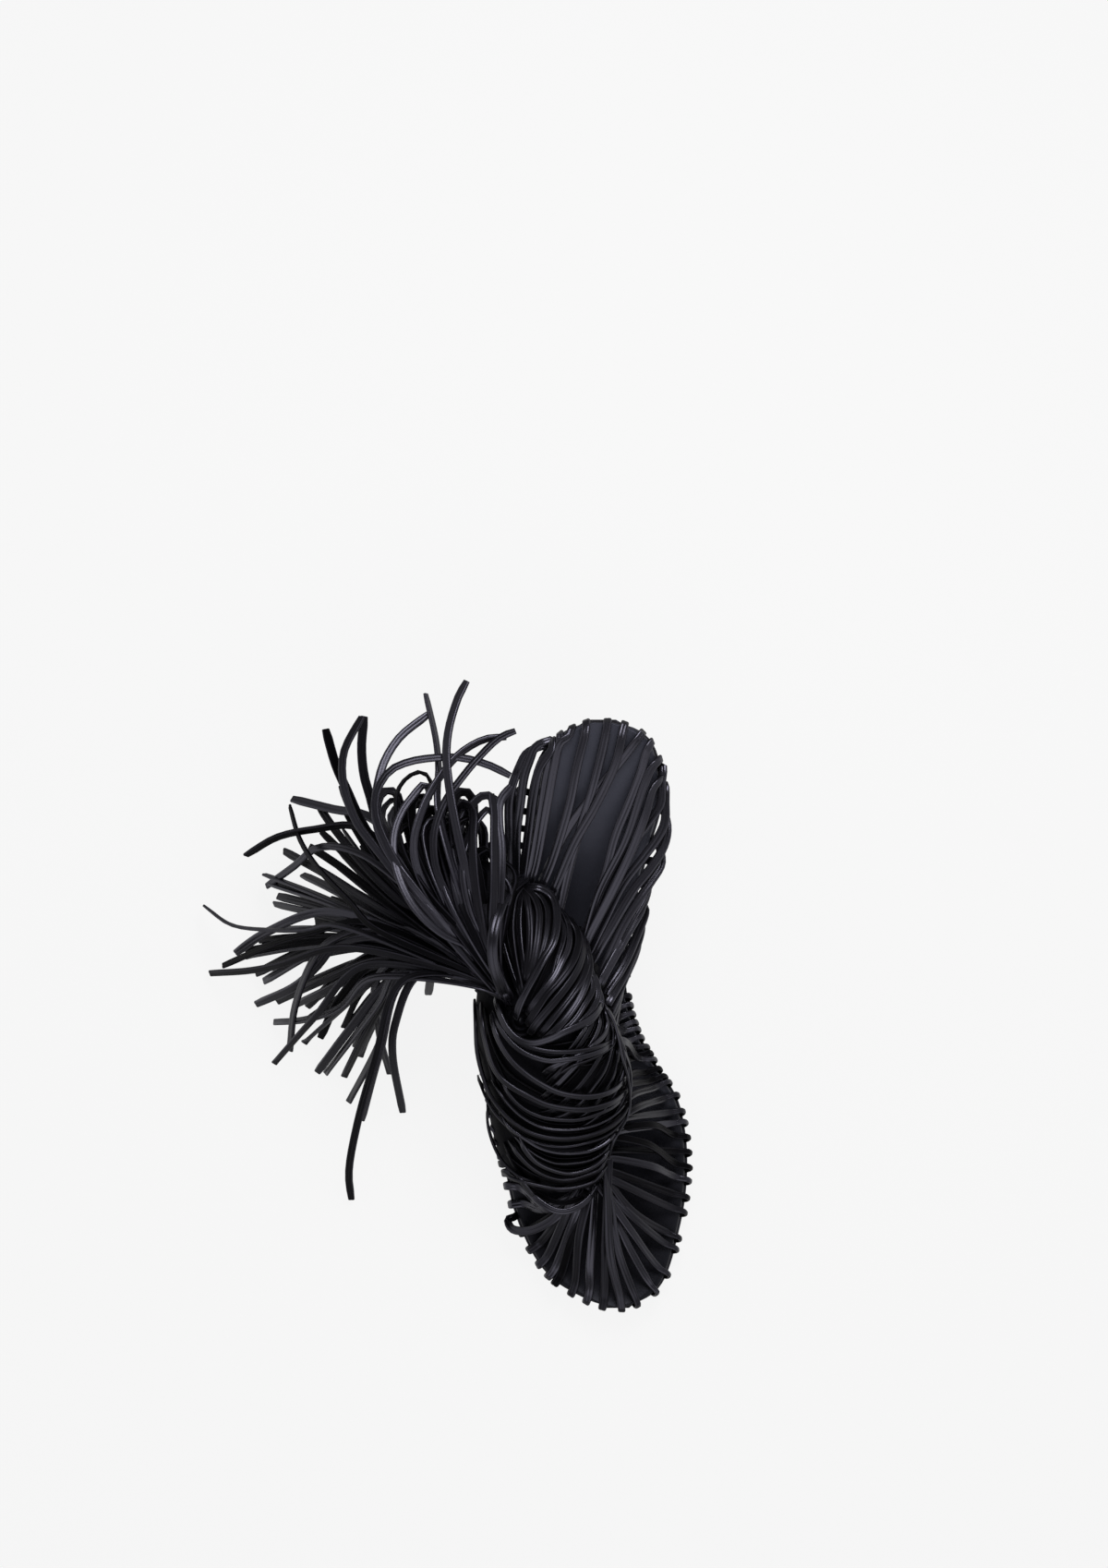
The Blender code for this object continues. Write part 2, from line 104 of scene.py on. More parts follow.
# Heel: height of each section, y of its middle, half its length and half its width.
HEEL_X = -3.0
TOP_PIECE = 4.0
HEEL = (
    (TOP_PIECE + GAP, 156.0, 9.5, 9.0),
    (20.0, 155.6, 9.8, 9.4),
    (38.0, 154.0, 12.0, 11.4),
    (56.0, 150.5, 17.5, 16.2),
    (74.0, 145.5, 25.0, 21.6),
    (94.0, 142.5, 29.0, 24.5),
)
HEEL_SQUARENESS = 2.6

# Knot: y of each section, x of its outer and inner rim, height of the rim and of the crown.
KNOT = (
    (114.0, -36.0, -24.0, 69.0, 74.0),
    (103.0, -41.0, -15.0, 64.0, 81.0),
    (90.0, -45.5, -5.0, 57.0, 86.0),
    (73.0, -48.5, 4.0, 49.0, 88.0),
    (57.0, -49.5, 8.0, 42.0, 87.0),
    (43.0, -48.0, 10.6, 37.0, 81.0),
    (30.0, -45.5, 10.4, 33.0, 71.0),
    (16.0, -43.0, 7.0, 30.0, 59.0),
    (4.0, -39.0, 3.5, 28.0, 47.0),
    (-6.0, -31.0, -3.0, 27.0, 36.0),
)
CROWN_POWER = 0.8
KNOT_MIDDLE = (-16.0, 30.0)
HOLE_X = -30.0
HOLE_Y = 61.0
HOLE_RADIUS = 6.9

# Cage: how far a strip is tucked in, and how it turns round the edge of the insole.
TUCK = 4.2
LIP = 0.8
BULGE = 3.2
OVER_EDGE = 3.2
EDGE_LIFT = 1.7
OVER_PAD = 1.8
SLANT = 2.4
HEEL_ARCH = 2.0
CAGE_ARCH = 5.0

# Strips of the heel, from the edge to the knot, in plan.
HEEL_STRIPS = (
    ((-24.5, 166.5), (-28.5, 162), (-31.5, 156.5), (-34, 150), (-35.5, 143), (-35.5, 131), (-34.5, 117)),
    ((-21, 169), (-25, 164.5), (-27.5, 159), (-29.5, 153), (-31, 142.5), (-32.5, 131), (-32.5, 116)),
    ((-20.5, 168.5), (-23.5, 156.5), (-26, 145.5), (-28, 131), (-30, 116)),
    ((-17, 171), (-20, 157), (-23, 139.5), (-26.5, 119), (-28, 113)),
    ((-12, 172.5), (-15.5, 166), (-18, 156), (-21, 140), (-25, 119), (-27, 112)),
    ((-5, 173), (-9, 157), (-12, 142), (-19, 119), (-22, 112)),
    ((3, 174), (1, 164), (-3, 148), (-11, 121), (-15, 104)),
    ((14, 167), (9, 160), (-4, 144), (-11, 135), (-17, 124), (-22, 113)),
    ((9, 172), (6, 158), (-2, 141), (-10, 127), (-16, 113)),
    ((19, 165), (16, 155), (11, 142), (6, 130), (2, 115), (-5, 94)),
    ((21, 158), (17, 149), (10, 128), (0, 108), (-5, 92)),
    ((22, 151), (18, 139), (13, 126), (7, 113), (-4, 91)),
    ((21.5, 156), (24, 149.5), (23.5, 142), (18.5, 134.5), (12.5, 126), (6, 113), (-4, 91)),
    ((23, 149), (25.5, 142), (25.2, 135), (22.5, 129), (17, 121.5), (9, 111), (1, 95)),
    ((24.5, 139.5), (26.3, 132.5), (24.6, 125), (19.5, 117), (12.5, 108), (2, 90)),
    ((24, 126), (24, 119), (20, 112), (15.5, 105.5), (9, 95), (3, 82)),
    ((23, 119), (18, 108), (11, 95), (4, 81)),
    ((20, 110), (16, 101), (11, 92), (0, 72)),
    ((19, 101), (14, 90), (9, 79), (2, 68)),
    ((17, 95), (10, 77), (3, 64)),
    ((15, 88), (9, 73), (4, 61)),
    ((13, 81), (8, 69), (4, 58)),
    ((12, 74), (7, 66), (5, 56)),
)

# Strips of the forefoot, from the waist round the toe to the outer side.
FORE_STRIPS = (
    ((11, 68), (4, 63)),
    ((12, 64.5), (4, 58)),
    ((13, 61), (6, 56)),
    ((14, 58), (5, 50)),
    ((15, 55), (6, 52)),
    ((17, 52), (6, 46)),
    ((19, 49), (6, 49)),
    ((20.5, 46.5), (8, 42)),
    ((22, 44), (10, 49)),
    ((24, 40), (12, 36)),
    ((26, 37.5), (10, 32)),
    ((28, 35), (12, 28)),
    ((31, 30), (14, 23)),
    ((33, 23), (8, 19)),
    ((34, 19), (6, 14)),
    ((35, 13), (20, 17), (5, 14)),
    ((35, 7), (4, 7)),
    ((35, 1), (18, 10), (4, 12)),
    ((35, -4), (20, 1), (4, 4)),
    ((34, -11), (4, -1)),
    ((34, -17), (4, -4)),
    ((32, -27), (12, -16), (3, -5)),
    ((31, -31), (12, -18), (4, -11)),
    ((28, -41), (12, -24), (4, -13)),
    ((24, -49), (10, -28), (4, -14)),
    ((14, -52), (7, -32), (4, -14)),
    ((8, -53), (4, -34), (3, -13)),
    ((1, -53), (2, -30), (3, -4)),
    ((-6, -53), (-4, -38), (-2, -9)),
    ((-12, -50), (-8, -25), (-4, -9)),
    ((-18, -46), (-11, -27), (-4, -13)),
    ((-21, -43), (-9, -16), (-4, -7)),
    ((-25, -38), (-11, -13)),
    ((-28, -32), (-16, -20), (-4, -9)),
    ((-31.5, -18.5), (-36, -20.5), (-34.5, -24), (-27.5, -24.5), (-20, -21), (-15, -17), (-6, -8)),
    ((-31, -25), (-18, -18), (-6, -9)),
    ((-35, -14), (-22, -16), (-8, -9)),
    ((-37, -7), (-20, -16), (-2, -5)),
    ((-38, -2), (-18, -7), (-4, -5), (2, 0)),
)

# Outer waist, under the knot: y at the edge, then y at the knot and degrees from its outer rim.
OUTER_WAIST = (
    (150.0, 112.0, 40.0),
    (125.0, 110.0, 16.0),
    (90.0, 80.0, 14.0),
    (60.0, 51.0, 14.0),
    (30.0, 24.0, 14.0),
    (8.0, 6.0, 18.0),
    (0.0, 2.0, 24.0),
)
WAIST_FROM_Y = 147.0
WAIST_TO_Y = 2.0
WAIST_STRIPS = 23

# Strips of the knot, from the inner side: width against a whole strip, lift over the wall, points in plan.
# First those over the lobe into the hole, then the swags round the front, then those behind the swags.
LOBES = (
    (0.7, 1.4, ((-30, 110.5), (-34, 106), (-36.5, 101), (-38, 95.5), (-38, 89.5), (-36.5, 83),
        (-34.5, 76.5), (-32.5, 71), (-30.5, 66))),
    (0.95, 1.9, ((-30, 110.5), (-33, 106), (-34, 101), (-34.5, 94.5), (-34, 87.5), (-33, 80.5),
        (-31.5, 73), (-30, 66.5))),
    (0.7, 1.3, ((-30, 110), (-31, 104.5), (-31.5, 97), (-31, 88), (-30, 79), (-30, 70))),
    (0.95, 2, ((-30, 110), (-28.5, 104.5), (-27.5, 97), (-27.5, 88), (-28.5, 79), (-29.5, 71))),
    (1.05, 2.3, ((-29.5, 110), (-26, 106), (-24, 100.5), (-24, 93.5), (-25, 85.5), (-26.5, 78.5),
        (-29, 71))),
    (0.8, 1.2, ((-29, 110), (-24, 107), (-21, 102), (-20.5, 95.5), (-21.5, 89), (-23.5, 82), (-26, 75.5),
        (-28.5, 69.5))),
    (1.15, 3.3, ((-28.5, 110), (-22.5, 109), (-18.5, 105.5), (-17, 100.5), (-17, 94.5), (-18.5, 88),
        (-22, 82), (-25.5, 75.5), (-29, 69), (-31.5, 63.5), (-33, 58.5))),
    (0.75, 1.1, ((-16.5, 103.5), (-14.5, 98.5), (-14, 92.5), (-15, 87), (-17, 81), (-18.5, 75.5),
        (-21, 71))),
    (0.9, 2, ((-15.5, 101), (-13, 96.5), (-12, 92), (-12.5, 86), (-15, 80.5), (-17.5, 75.5), (-21.5, 70),
        (-25.5, 65), (-28.5, 60))),
    (1.05, 2.6, ((-13.5, 99), (-10, 94.5), (-8.5, 89.5), (-9.5, 83.5), (-12, 78.5), (-16, 73),
        (-21, 67.5), (-25, 61.5), (-28.5, 56))),
    (1.1, 2.9, ((-10, 95.5), (-7, 91), (-6.5, 85.5), (-8, 79.5), (-11, 74), (-15.5, 68), (-20, 62.5),
        (-24.5, 57), (-27.5, 52.5))),
    (0.95, 2.2, ((-7, 91.5), (-5, 86), (-5, 80), (-7, 74), (-10.5, 68.5), (-15, 62.5), (-19.5, 57),
        (-24, 51.5))),
    (1, 2.7, ((-5.5, 87), (-4, 81), (-4.5, 75.5), (-6.5, 69.5), (-9.5, 64), (-13.5, 58.5), (-18, 53.5),
        (-22.5, 49.5))),
    (0.8, 1.9, ((-4.5, 80.5), (-3, 75.5), (-3, 69.5), (-6, 64), (-9.5, 58.5), (-13.5, 54.5), (-18, 51.5))),
    (0.85, 2.4, ((-3.5, 77.5), (-1, 71.5), (-1, 66.5), (-3.5, 61.5), (-7, 57.5), (-11.5, 53.5))),
    (0.7, 1.8, ((-1.5, 71.5), (0.5, 66.5), (0, 62.5), (-3, 58), (-7, 55))),
)
SWAGS = (
    (1.05, 3.2, ((1, 64.5), (-2, 60), (-7, 56.5), (-13.5, 53.5), (-20, 50.5), (-26.5, 49), (-32, 50.5),
        (-36.5, 55), (-39, 60), (-41, 66))),
    (0.85, 2.5, ((5, 49.5), (0, 47.5), (-6, 46), (-12, 45.5), (-18.5, 45.5), (-24.5, 46.5), (-30, 48.5),
        (-34.5, 52), (-38, 57.5), (-40.5, 63))),
    (0.8, 2.8, ((5, 48.5), (-0.5, 45.5), (-7, 43.5), (-13.5, 42.5), (-20, 42), (-26, 43.5), (-31, 46),
        (-35.5, 50), (-39, 55), (-42, 61))),
    (0.9, 2.2, ((1.5, 63), (3, 58), (2, 53), (-2, 48.5), (-7, 44.5), (-13, 42), (-18.5, 39.5), (-22, 37))),
    (0.8, 1.6, ((2, 63), (5, 58), (6, 52), (5, 48), (0.5, 44.5), (-5, 42), (-11.5, 39.5), (-17.5, 35))),
    (0.95, 3.2, ((10, 35.5), (6.5, 31.5), (1.5, 29), (-4.5, 28), (-11, 28.5), (-17, 30), (-23, 33),
        (-29, 37), (-34, 41.5), (-38, 47), (-41, 53.5), (-42.5, 60))),
    (1, 3.5, ((10.5, 30.5), (6, 26.5), (-0.5, 24), (-7, 23), (-14, 23.5), (-21, 25), (-27.5, 28),
        (-34, 31.5), (-39, 35.5), (-42.5, 41.5), (-44.5, 48.5), (-46, 56), (-46.5, 64))),
    (0.7, 2.1, ((10, 28.5), (5, 24), (-1.5, 21), (-8.5, 19), (-16, 19), (-22.5, 20), (-28.5, 22.5),
        (-33, 26), (-36.5, 30.5), (-39, 35.5))),
    (0.8, 2.5, ((11, 27), (6.5, 21.5), (0, 17.5), (-7, 15.5), (-15, 15), (-22.5, 16), (-29, 19),
        (-34, 23), (-38.5, 28.5), (-42, 34))),
    (1.15, 3.3, ((12, 28.5), (9.5, 21.5), (3.5, 16), (-3.5, 13), (-12, 11.5), (-20.5, 12), (-27.5, 14),
        (-34, 18), (-39, 23), (-43, 29), (-46, 36.5), (-48, 45), (-48.5, 55), (-49, 65))),
    (0.9, 2.6, ((11.5, 25), (8, 17.5), (2, 12.5), (-5, 10), (-13, 8.5), (-21, 9), (-28.5, 11.5),
        (-35, 15.5), (-40.5, 21), (-44.5, 27.5), (-47.5, 35.5))),
    (1.05, 3.1, ((6.5, 15), (3, 10.5), (-3.5, 7), (-11, 6), (-18, 6.5), (-24.5, 8.5), (-30, 12),
        (-35.5, 16), (-39, 21.5))),
    (0.75, 2, ((5.5, 12.5), (2, 7), (-3, 3.5), (-10, 2), (-17.5, 2), (-24, 4.5), (-29, 8), (-33.5, 12.5))),
    (0.9, 2.8, ((4, 8), (0.5, 3), (-5, -0.5), (-12, -2), (-19, -0.5), (-25, 2.5), (-29, 7), (-31.5, 12))),
    (0.9, 2.6, ((3, 4.5), (-0.5, -0.5), (-6.5, -3), (-13.5, -4.5), (-21, -3), (-27, 0.5), (-31.5, 5),
        (-35.5, 10.5))),
    (1, 3, ((2.5, 1), (-1.5, -4.5), (-7.5, -7), (-15, -8), (-22.5, -7), (-29, -5.5), (-34, -4), (-38, -2))),
    (0.9, 3.4, ((-0.5, -5.5), (-3.5, -10.5), (-8, -14.5), (-13.5, -16.5), (-18, -16), (-22.5, -13.5),
        (-26.5, -10), (-30, -5.5), (-33, -2))),
    (0.9, 2, ((-24, -6), (-31, -3.5), (-35.5, 0), (-39.5, 5), (-42.5, 12), (-44, 19), (-43.5, 26))),
)
DIAGONALS = (
    (0.75, 1.3, ((-4.5, 56.5), (-8, 51.5), (-12, 46), (-16.5, 40.5), (-20, 36.5))),
    (0.7, 1, ((-2, 59.5), (-4.5, 53.5), (-8, 48), (-12, 42), (-16.5, 37), (-21, 32.5))),
    (0.75, 1.5, ((0, 61), (-0.5, 55), (-3.5, 48.5), (-8, 42), (-13, 36.5), (-18, 31.5), (-23.5, 27))),
    (0.7, 1.1, ((2, 61.5), (3.5, 55), (2, 48), (-2, 40.5), (-6.5, 34), (-12, 28), (-18, 23), (-24.5, 21))),
    (0.75, 1.6, ((2.5, 61.5), (5, 54.5), (4.5, 46.5), (2, 38.5), (-2.5, 31.5), (-8, 25), (-14.5, 20.5),
        (-21.5, 18.5))),
    (0.7, 1.2, ((3.5, 60), (7, 52), (7, 43.5), (5, 35.5), (0.5, 28), (-4.5, 22), (-11.5, 17.5))),
    (0.8, 1.7, ((5, 58), (8.5, 48.5), (9.5, 40), (7, 32), (3, 24.5), (-2.5, 19), (-9.5, 14.5))),
    (0.75, 1.3, ((6.5, 55), (10, 45), (11, 36.5), (9.5, 28.5), (6, 21.5), (0.5, 15.5), (-6, 11))),
    (0.8, 1.8, ((8, 48.5), (11.5, 39.5), (12, 30.5), (10, 22.5), (6, 15.5), (0.5, 10), (-5, 5.5))),
    (0.85, 3.2, ((1.5, 64), (5, 58.5), (7, 51.5), (8.5, 43.5), (10.5, 36.5), (11.5, 29), (11, 22),
        (8, 15.5), (5, 10), (3.5, 4.5))),
)
# The strip that ties the root of the fringe down, with its height.
BAND = (
    (-29, 113.5, 73), (-33.5, 110, 84), (-37, 106, 94), (-39, 101, 100), (-41, 95, 103), (-42, 89, 104),
    (-42, 83, 103), (-41, 77, 100), (-39, 71.5, 95), (-37, 66.5, 86),
)

# Fringe strands that stand out, from the tip inwards, in plan.
LONG_STRANDS = (
    ((-107, 171), (-103, 157), (-99, 148), (-90, 130)),
    ((-93, 176), (-100, 162), (-100, 149), (-95, 135), (-90, 128)),
    ((-92, 176), (-93, 164), (-92, 153), (-90, 146), (-84, 128)),
    ((-68, 185), (-64, 167), (-63, 157), (-63, 139)),
    ((-67, 177), (-79, 167), (-86, 153), (-86, 130)),
    ((-52, 190), (-56, 182), (-60, 160)),
    ((-36.5, 168), (-44, 167.5), (-51.5, 164), (-57.5, 159), (-63.5, 151), (-68, 143), (-72.5, 129),
        (-72, 119),
        (-65.5, 104.5), (-53, 93)),
    ((-33, 170.5), (-39, 168), (-47, 160.5), (-54.5, 151.5), (-60.5, 143), (-64, 134), (-65, 126),
        (-63.5, 115.5),
        (-57.5, 102.5), (-48, 86)),
    ((-35, 153), (-43, 157), (-54, 160), (-65, 160), (-76, 158), (-83, 154), (-88, 142), (-80, 120)),
    ((-120, 144), (-104, 140), (-90, 137), (-76, 122)),
    ((-121, 141), (-117, 128), (-110, 117), (-97, 103), (-90, 95)),
    ((-138, 122), (-126, 129), (-112, 132), (-94, 133), (-78, 118)),
    ((-130, 110), (-119, 118), (-110, 125), (-92, 122)),
    ((-154, 102), (-144, 95), (-130, 93), (-115, 93), (-104, 95)),
    ((-142, 84), (-130, 92), (-104, 100)),
    ((-147, 79), (-126, 88), (-112, 92), (-92, 96)),
    ((-152, 76), (-137, 77), (-126, 79), (-100, 86)),
    ((-134, 76), (-115, 85), (-90, 90)),
    ((-131, 73), (-108, 86), (-86, 92)),
    ((-134, 64), (-119, 71), (-110, 79), (-104, 86), (-86, 90)),
    ((-114, 63), (-97, 79), (-78, 86)),
    ((-127, 57), (-115, 58), (-101, 63), (-90, 74)),
    ((-109, 51), (-101, 67), (-84, 82)),
    ((-100, 55), (-92, 70), (-76, 80)),
    ((-121, 46), (-119, 63), (-112, 81), (-106, 88), (-88, 94)),
    ((-127, 41), (-112, 58), (-92, 79)),
    ((-107, 37), (-86, 65), (-79, 77)),
    ((-98, 26), (-86, 49), (-76, 77)),
    ((-93, 19), (-86, 45), (-76, 74)),
    ((-97, -12), (-98, -2), (-95, 16), (-88, 41), (-76, 74)),
    ((-82, 37), (-86, 52), (-87, 74), (-74, 84)),
    ((-77, 22), (-81, 45), (-80, 56), (-70, 76)),
    ((-67, 68), (-65, 76), (-56, 80)),
    ((-127, 103), (-90, 94), (-65, 83)),
    ((-103, 112), (-61, 88), (-43, 77)),
    ((-66.5, 146), (-68, 150), (-73, 145), (-77.5, 138.5), (-80.5, 129), (-79.5, 117), (-73, 102.5),
        (-62, 91.5),
        (-50, 85)),
    ((-66, 144), (-66.5, 152), (-70, 154.5), (-75, 152.5), (-79, 147), (-79.5, 138), (-76, 122), (-66, 106),
        (-52, 90)),
    ((-77.5, 139), (-79, 145.5), (-82.5, 147.5), (-85.5, 145.5), (-87, 138), (-82, 122), (-70, 104),
        (-54, 88)),
    ((-41, 137), (-43.5, 140), (-49, 134), (-52.5, 126), (-54, 117), (-51, 100), (-45, 86)),
    ((-40.5, 139), (-41, 143.5), (-45, 145.5), (-51, 140.5), (-55.5, 130), (-57, 115.5), (-53, 97),
        (-46, 84)),
    ((-42.5, 146), (-41.5, 139), (-41.5, 125), (-41.5, 108), (-42, 94)),
    ((-34.5, 149), (-39, 143), (-39.5, 135), (-38.5, 124.5), (-39, 108), (-40, 92)),
)

# Guides of the fan, from the root outwards in plan, then the arch over the root and the height of the tip.
FAN = (
    (((-34, 66), (-39, 77), (-38, 95), (-36, 113), (-37, 131)), 5.0, 84.0),
    (((-35, 67), (-41, 81), (-43, 99), (-43, 117), (-44, 139)), 9.0, 86.0),
    (((-36, 67), (-44, 83), (-50, 101), (-54, 121), (-53, 139), (-47, 144)), 13.0, 76.0),
    (((-37, 67), (-49, 86), (-58, 104), (-63, 124), (-62, 142), (-58, 153)), 14.0, 74.0),
    (((-37, 67), (-52, 88), (-65, 108), (-72, 126), (-70, 144), (-67, 151)), 14.0, 64.0),
    (((-37, 67), (-56, 90), (-72, 110), (-81, 130), (-85, 142), (-83, 147)), 13.0, 52.0),
    (((-37, 67), (-58, 88), (-77, 106), (-90, 122), (-99, 139), (-102, 153)), 11.0, 40.0),
    (((-38, 68), (-59, 86), (-83, 103), (-101, 117), (-115, 126)), 9.0, 26.0),
    (((-38, 68), (-61, 85), (-86, 95), (-108, 104), (-126, 110)), 7.0, 14.0),
    (((-38, 68), (-63, 82), (-90, 90), (-115, 92), (-137, 90)), 6.0, 7.0),
    (((-38, 68), (-65, 79), (-90, 85), (-115, 81), (-135, 75)), 5.0, 4.0),
    (((-38, 68), (-65, 77), (-86, 79), (-108, 68), (-126, 58)), 4.0, 3.0),
    (((-38, 68), (-63, 77), (-81, 74), (-95, 58), (-108, 41)), 3.0, 2.6),
    (((-38, 68), (-61, 76), (-76, 72), (-85, 56), (-92, 34)), 2.0, 2.6),
)
FAN_STEP = 0.12
FAN_LOW_STEP = 0.19
FAN_LOW_FROM = 9.0
# The upper strands of the fan curl over, by these steps from where they stand.
CURL_ROWS = 5.5
CURL = ((1.5, 4.0), (5.0, 6.0), (8.5, 3.0), (9.5, -5.0), (9.0, -14.0))

# How strands that stand out fall: bearing of the tip (degrees from +Y towards -X), arch, height of the tip.
FALL = (
    (0.0, 9.0, 92.0),
    (20.0, 12.0, 84.0),
    (35.0, 12.0, 56.0),
    (50.0, 10.0, 30.0),
    (65.0, 7.0, 12.0),
    (85.0, 5.0, 4.0),
    (110.0, 4.0, 2.6),
    (150.0, 3.0, 2.6),
)
ROOT = (-35.5, 64.5)
NECK = (-38.0, 68.0)
HIGHEST = 103.0
FRINGE_ROOT_Z = 88.5
FLOOR_CLEAR = 1.4

# Camera, straight above the picture's middle.
CAMERA_X = -18.0
CAMERA_Y = 149.8
CAMERA_Z = 2000.0
LENS = 117.8

# Lights: place and aim of the large light in metres, and the directions of the fill and of the two sides.
KEY_AT = (0.05, 0.38, 0.55)
KEY_TO = (-0.02, 0.08, 0.05)
FILL_FROM = (0.05, -0.72, 0.69)
SIDES_FROM = (0.87, 0.1, 0.48)

# Section of a folded strip, seam underneath: across from -1 to 1, up from -1 to 1.
SECTION = (
    (0.0, -1.0),
    (0.7, -0.97),
    (0.93, -0.7),
    (1.0, -0.1),
    (0.97, 0.38),
    (0.88, 0.72),
    (0.7, 0.93),
    (0.4, 0.99),
    (0.1, 0.96),
    (0.0, 0.86),
    (-0.1, 0.92),
    (-0.42, 0.96),
    (-0.72, 0.9),
    (-0.89, 0.68),
    (-0.97, 0.34),
    (-1.0, -0.1),
    (-0.93, -0.7),
    (-0.7, -0.97),
)

# Section of a strip: its size at the cut ends, and its change where it is pulled into a round cord.
END_SIZE = 0.82
CORD_NARROWER = 0.38
CORD_THICKER = 0.4
SMOOTH_ANGLE = 40

# Edge of the outsole: the rounding at its foot, across and up, and at its top corner.
SOLE_FOOT_X = 1.8
SOLE_FOOT_Z = 1.5
SOLE_CORNER = 0.5
SOLE_FLAT_POINTS = 12

# Padding: the rounding at its foot and at its top, the rise of its edge, and its soft unevenness.
PAD_FOOT_X = 0.7
PAD_FOOT_Z = 1.2
PAD_SIDE_Z = 2.2
PAD_TOP_X = 2.6
PAD_RISE = 0.15
PAD_WAVE = 0.12
PAD_POINTS = 26
PAD_SMOOTH_ANGLE = 35
CORE_LEAST = 0.01
# Painted shade: the footbed darkens and loses gloss towards the toe, from this y in metres, for the knot's
# shade.
TOE_SHADE_FROM_Y = 0.08
TOE_SHADE_COLOUR = (0.007, 0.007, 0.009)

# Heel and its tip: sides and rings of the skin, the chamfer at its foot and the bevel of the tip.
HEEL_SIDES = 56
HEEL_RINGS = 44
HEEL_SMOOTH_ANGLE = 50
HEEL_FOOT = 0.955
HEEL_CHAMFER = 0.4
TIP_BEVEL = 0.45
TIP_COLOUR = (0.012, 0.012, 0.012)

# How strips of the cage lie: sway and twist in degrees, and the run over which they are pulled together.
EDGE_POINTS = 720
SWAY = 9
TWIST = 50
PULL_RUN = (0, 11, 20)
PULL = (1.0, 0.9, 0.0)
NARROW_RUN = (0, 10, 22)
NARROW = 0.94
NARROWER_PULLED = 0.3
LAYER = 0.5
PULLED = 0.15
PULLED_MORE_INSIDE = 0.65
# First guess of a strip's height at the knot, in front of and behind this y, and its start over the footbed.
FRONT_Z = 34.0
BACK_Z = 60.0
BACK_FROM_Y = 40
OVER_GROUND = 3
# How far a strip looks for the knot, and how deep inside it ends.
KNOT_REACH = 40.0
KNOT_INSET = 2.0
# Share of the outward direction, across and along the foot, at which an edge counts as a side or an end.
SIDE_FULL = 0.6
END_GAIN = 1.6
# At the ends of the sole the strips turn over the edge flatter and lean towards where they go.
HEEL_FLATTER = 0.7
FORE_FLATTER = 0.45
HEEL_LEAN = 1.2
WIDEST_BULGE = 7.0
LEAST_BULGE = BULGE - 0.6
EDGE_BULGE = 0.4
OUTSIDE = 0.5
# Tones of the strips by part. Those of the heel are paler: partly their own tone, partly painted light where
# the heel is lit most.
HEEL_LIT_TONES = (0.8, 1.8)
FORE_TONES = (-0.15, 1.6)
WAIST_TONES = (0.3, 1.4)
WAIST_PULL = 0.3
WAIST_X = -15
WAIST_ARCH = 2.0
WAIST_BULGE = 5.6
WAIST_BULGE_Y = (60, 120)

# Knot: the wall under its strips, and the degrees by which each family of strips is turned about its length.
WALL_DEPTH = 1.5
WALL_THICKNESS = 1.6
# The wall is darker than any strip: painted shade of the depth between the strips.
WALL_SHADE_DARK = (0.0008, 0.0008, 0.0009)
WALL_SHADE_LIGHT = (0.0016, 0.0015, 0.0017)
FAMILIES = ((DIAGONALS, -24), (LOBES, 14), (SWAGS, -22))
# Strips of the under-layer lie between those of the tables; their dark tones are painted shade of their
# depth.
UNDER_PLACE = (0.35, 0.65)
UNDER_LIFT = (-0.8, 0.1)
UNDER_DIVE = 0.3
UNDER_ROLL = 30
UNDER_SHADE_TONES = (-0.6, 0.1)
UNDER_WIDTH = 0.6
OVER_ROLL = 26
OVER_TONES = (0.3, 1.0)
OVER_WIDTH = 0.76
# Both ends of a strip dive into the wall.
DIVE_IN = 2.6
DIVE_IN_TO = 0.1
DIVE_OUT = 3.2
DIVE_OUT_FROM = 0.86

# Fringe: how far roots and tips stray, how a strand sinks at its root and curls down at its tip.
GUIDE_POINTS = 14
ROOT_STRAY = 1.5
NECK_STRAY = 2
TIP_STRAY = 7.0
ROOT_SINK = 11.0
ROOT_SINK_TO = 0.1
CURL_DROP = 18.0
CURL_FROM = 0.75
ROOT_ROLL_TO = 0.45
ROLL_FREE_Z = 6.0
LEAST_ROLL = 0.15
# Most roll of a whole strand, more towards its tip and more at its root, in radians.
ROLL = 0.6
TIP_ROLL = 1.2
ROOT_ROLL = 1.1
WIDTH_AT = (0, 0.12, 0.4)
WIDTHS = (0.5, 0.58, 1.0)
CURL_SIZE = (0.5, 1.2)
# Ranges for the strands of the fan and for those that stand out: share of the tip's height, lift of the
# root, tone and width.
FAN_RANGES = ((0.8, 1.15), (-9, 3), (-0.45, 1.15), (0.85, 1.0))
LONG_RANGES = ((0.85, 1.1), (0, 3), (-0.2, 1.4), (0.8, 1.0))
# Coil in the hole of the knot, in the darkest tone as painted shade of the hole.
COIL_TURNS = 3.2
COIL_POINTS = 90
COIL_INNER = 1.2
COIL_Z = (79.5, 76.5)

# Patches of soft light in the surround: cosine of the angle where they begin and where they are full.
PATCH_FROM = 0.74
PATCH_FULL = 0.95
WHITE = (1.0, 1.0, 1.0, 1.0)


class MuleSizes(bpy.types.PropertyGroup):
    strip_width: FloatProperty(
        name="Strip width", description="Width of a folded strip", default=0.0036, min=0.001, unit="LENGTH"
    )
    strip_thickness: FloatProperty(
        name="Strip thickness", description="Thickness of a folded strip",
        default=0.0015, min=0.0005, unit="LENGTH",
    )
    strip_points: IntProperty(
        name="Sections a strip", description="Sections along each strip", default=30, min=8, max=80
    )
    sole_sections: IntProperty(
        name="Sections of the sole", description="Sections along the sole and footbed",
        default=90, min=20, max=200,
    )
    seed: IntProperty(
        name="Seed", description="Starts the small differences between strips", default=7, min=0
    )


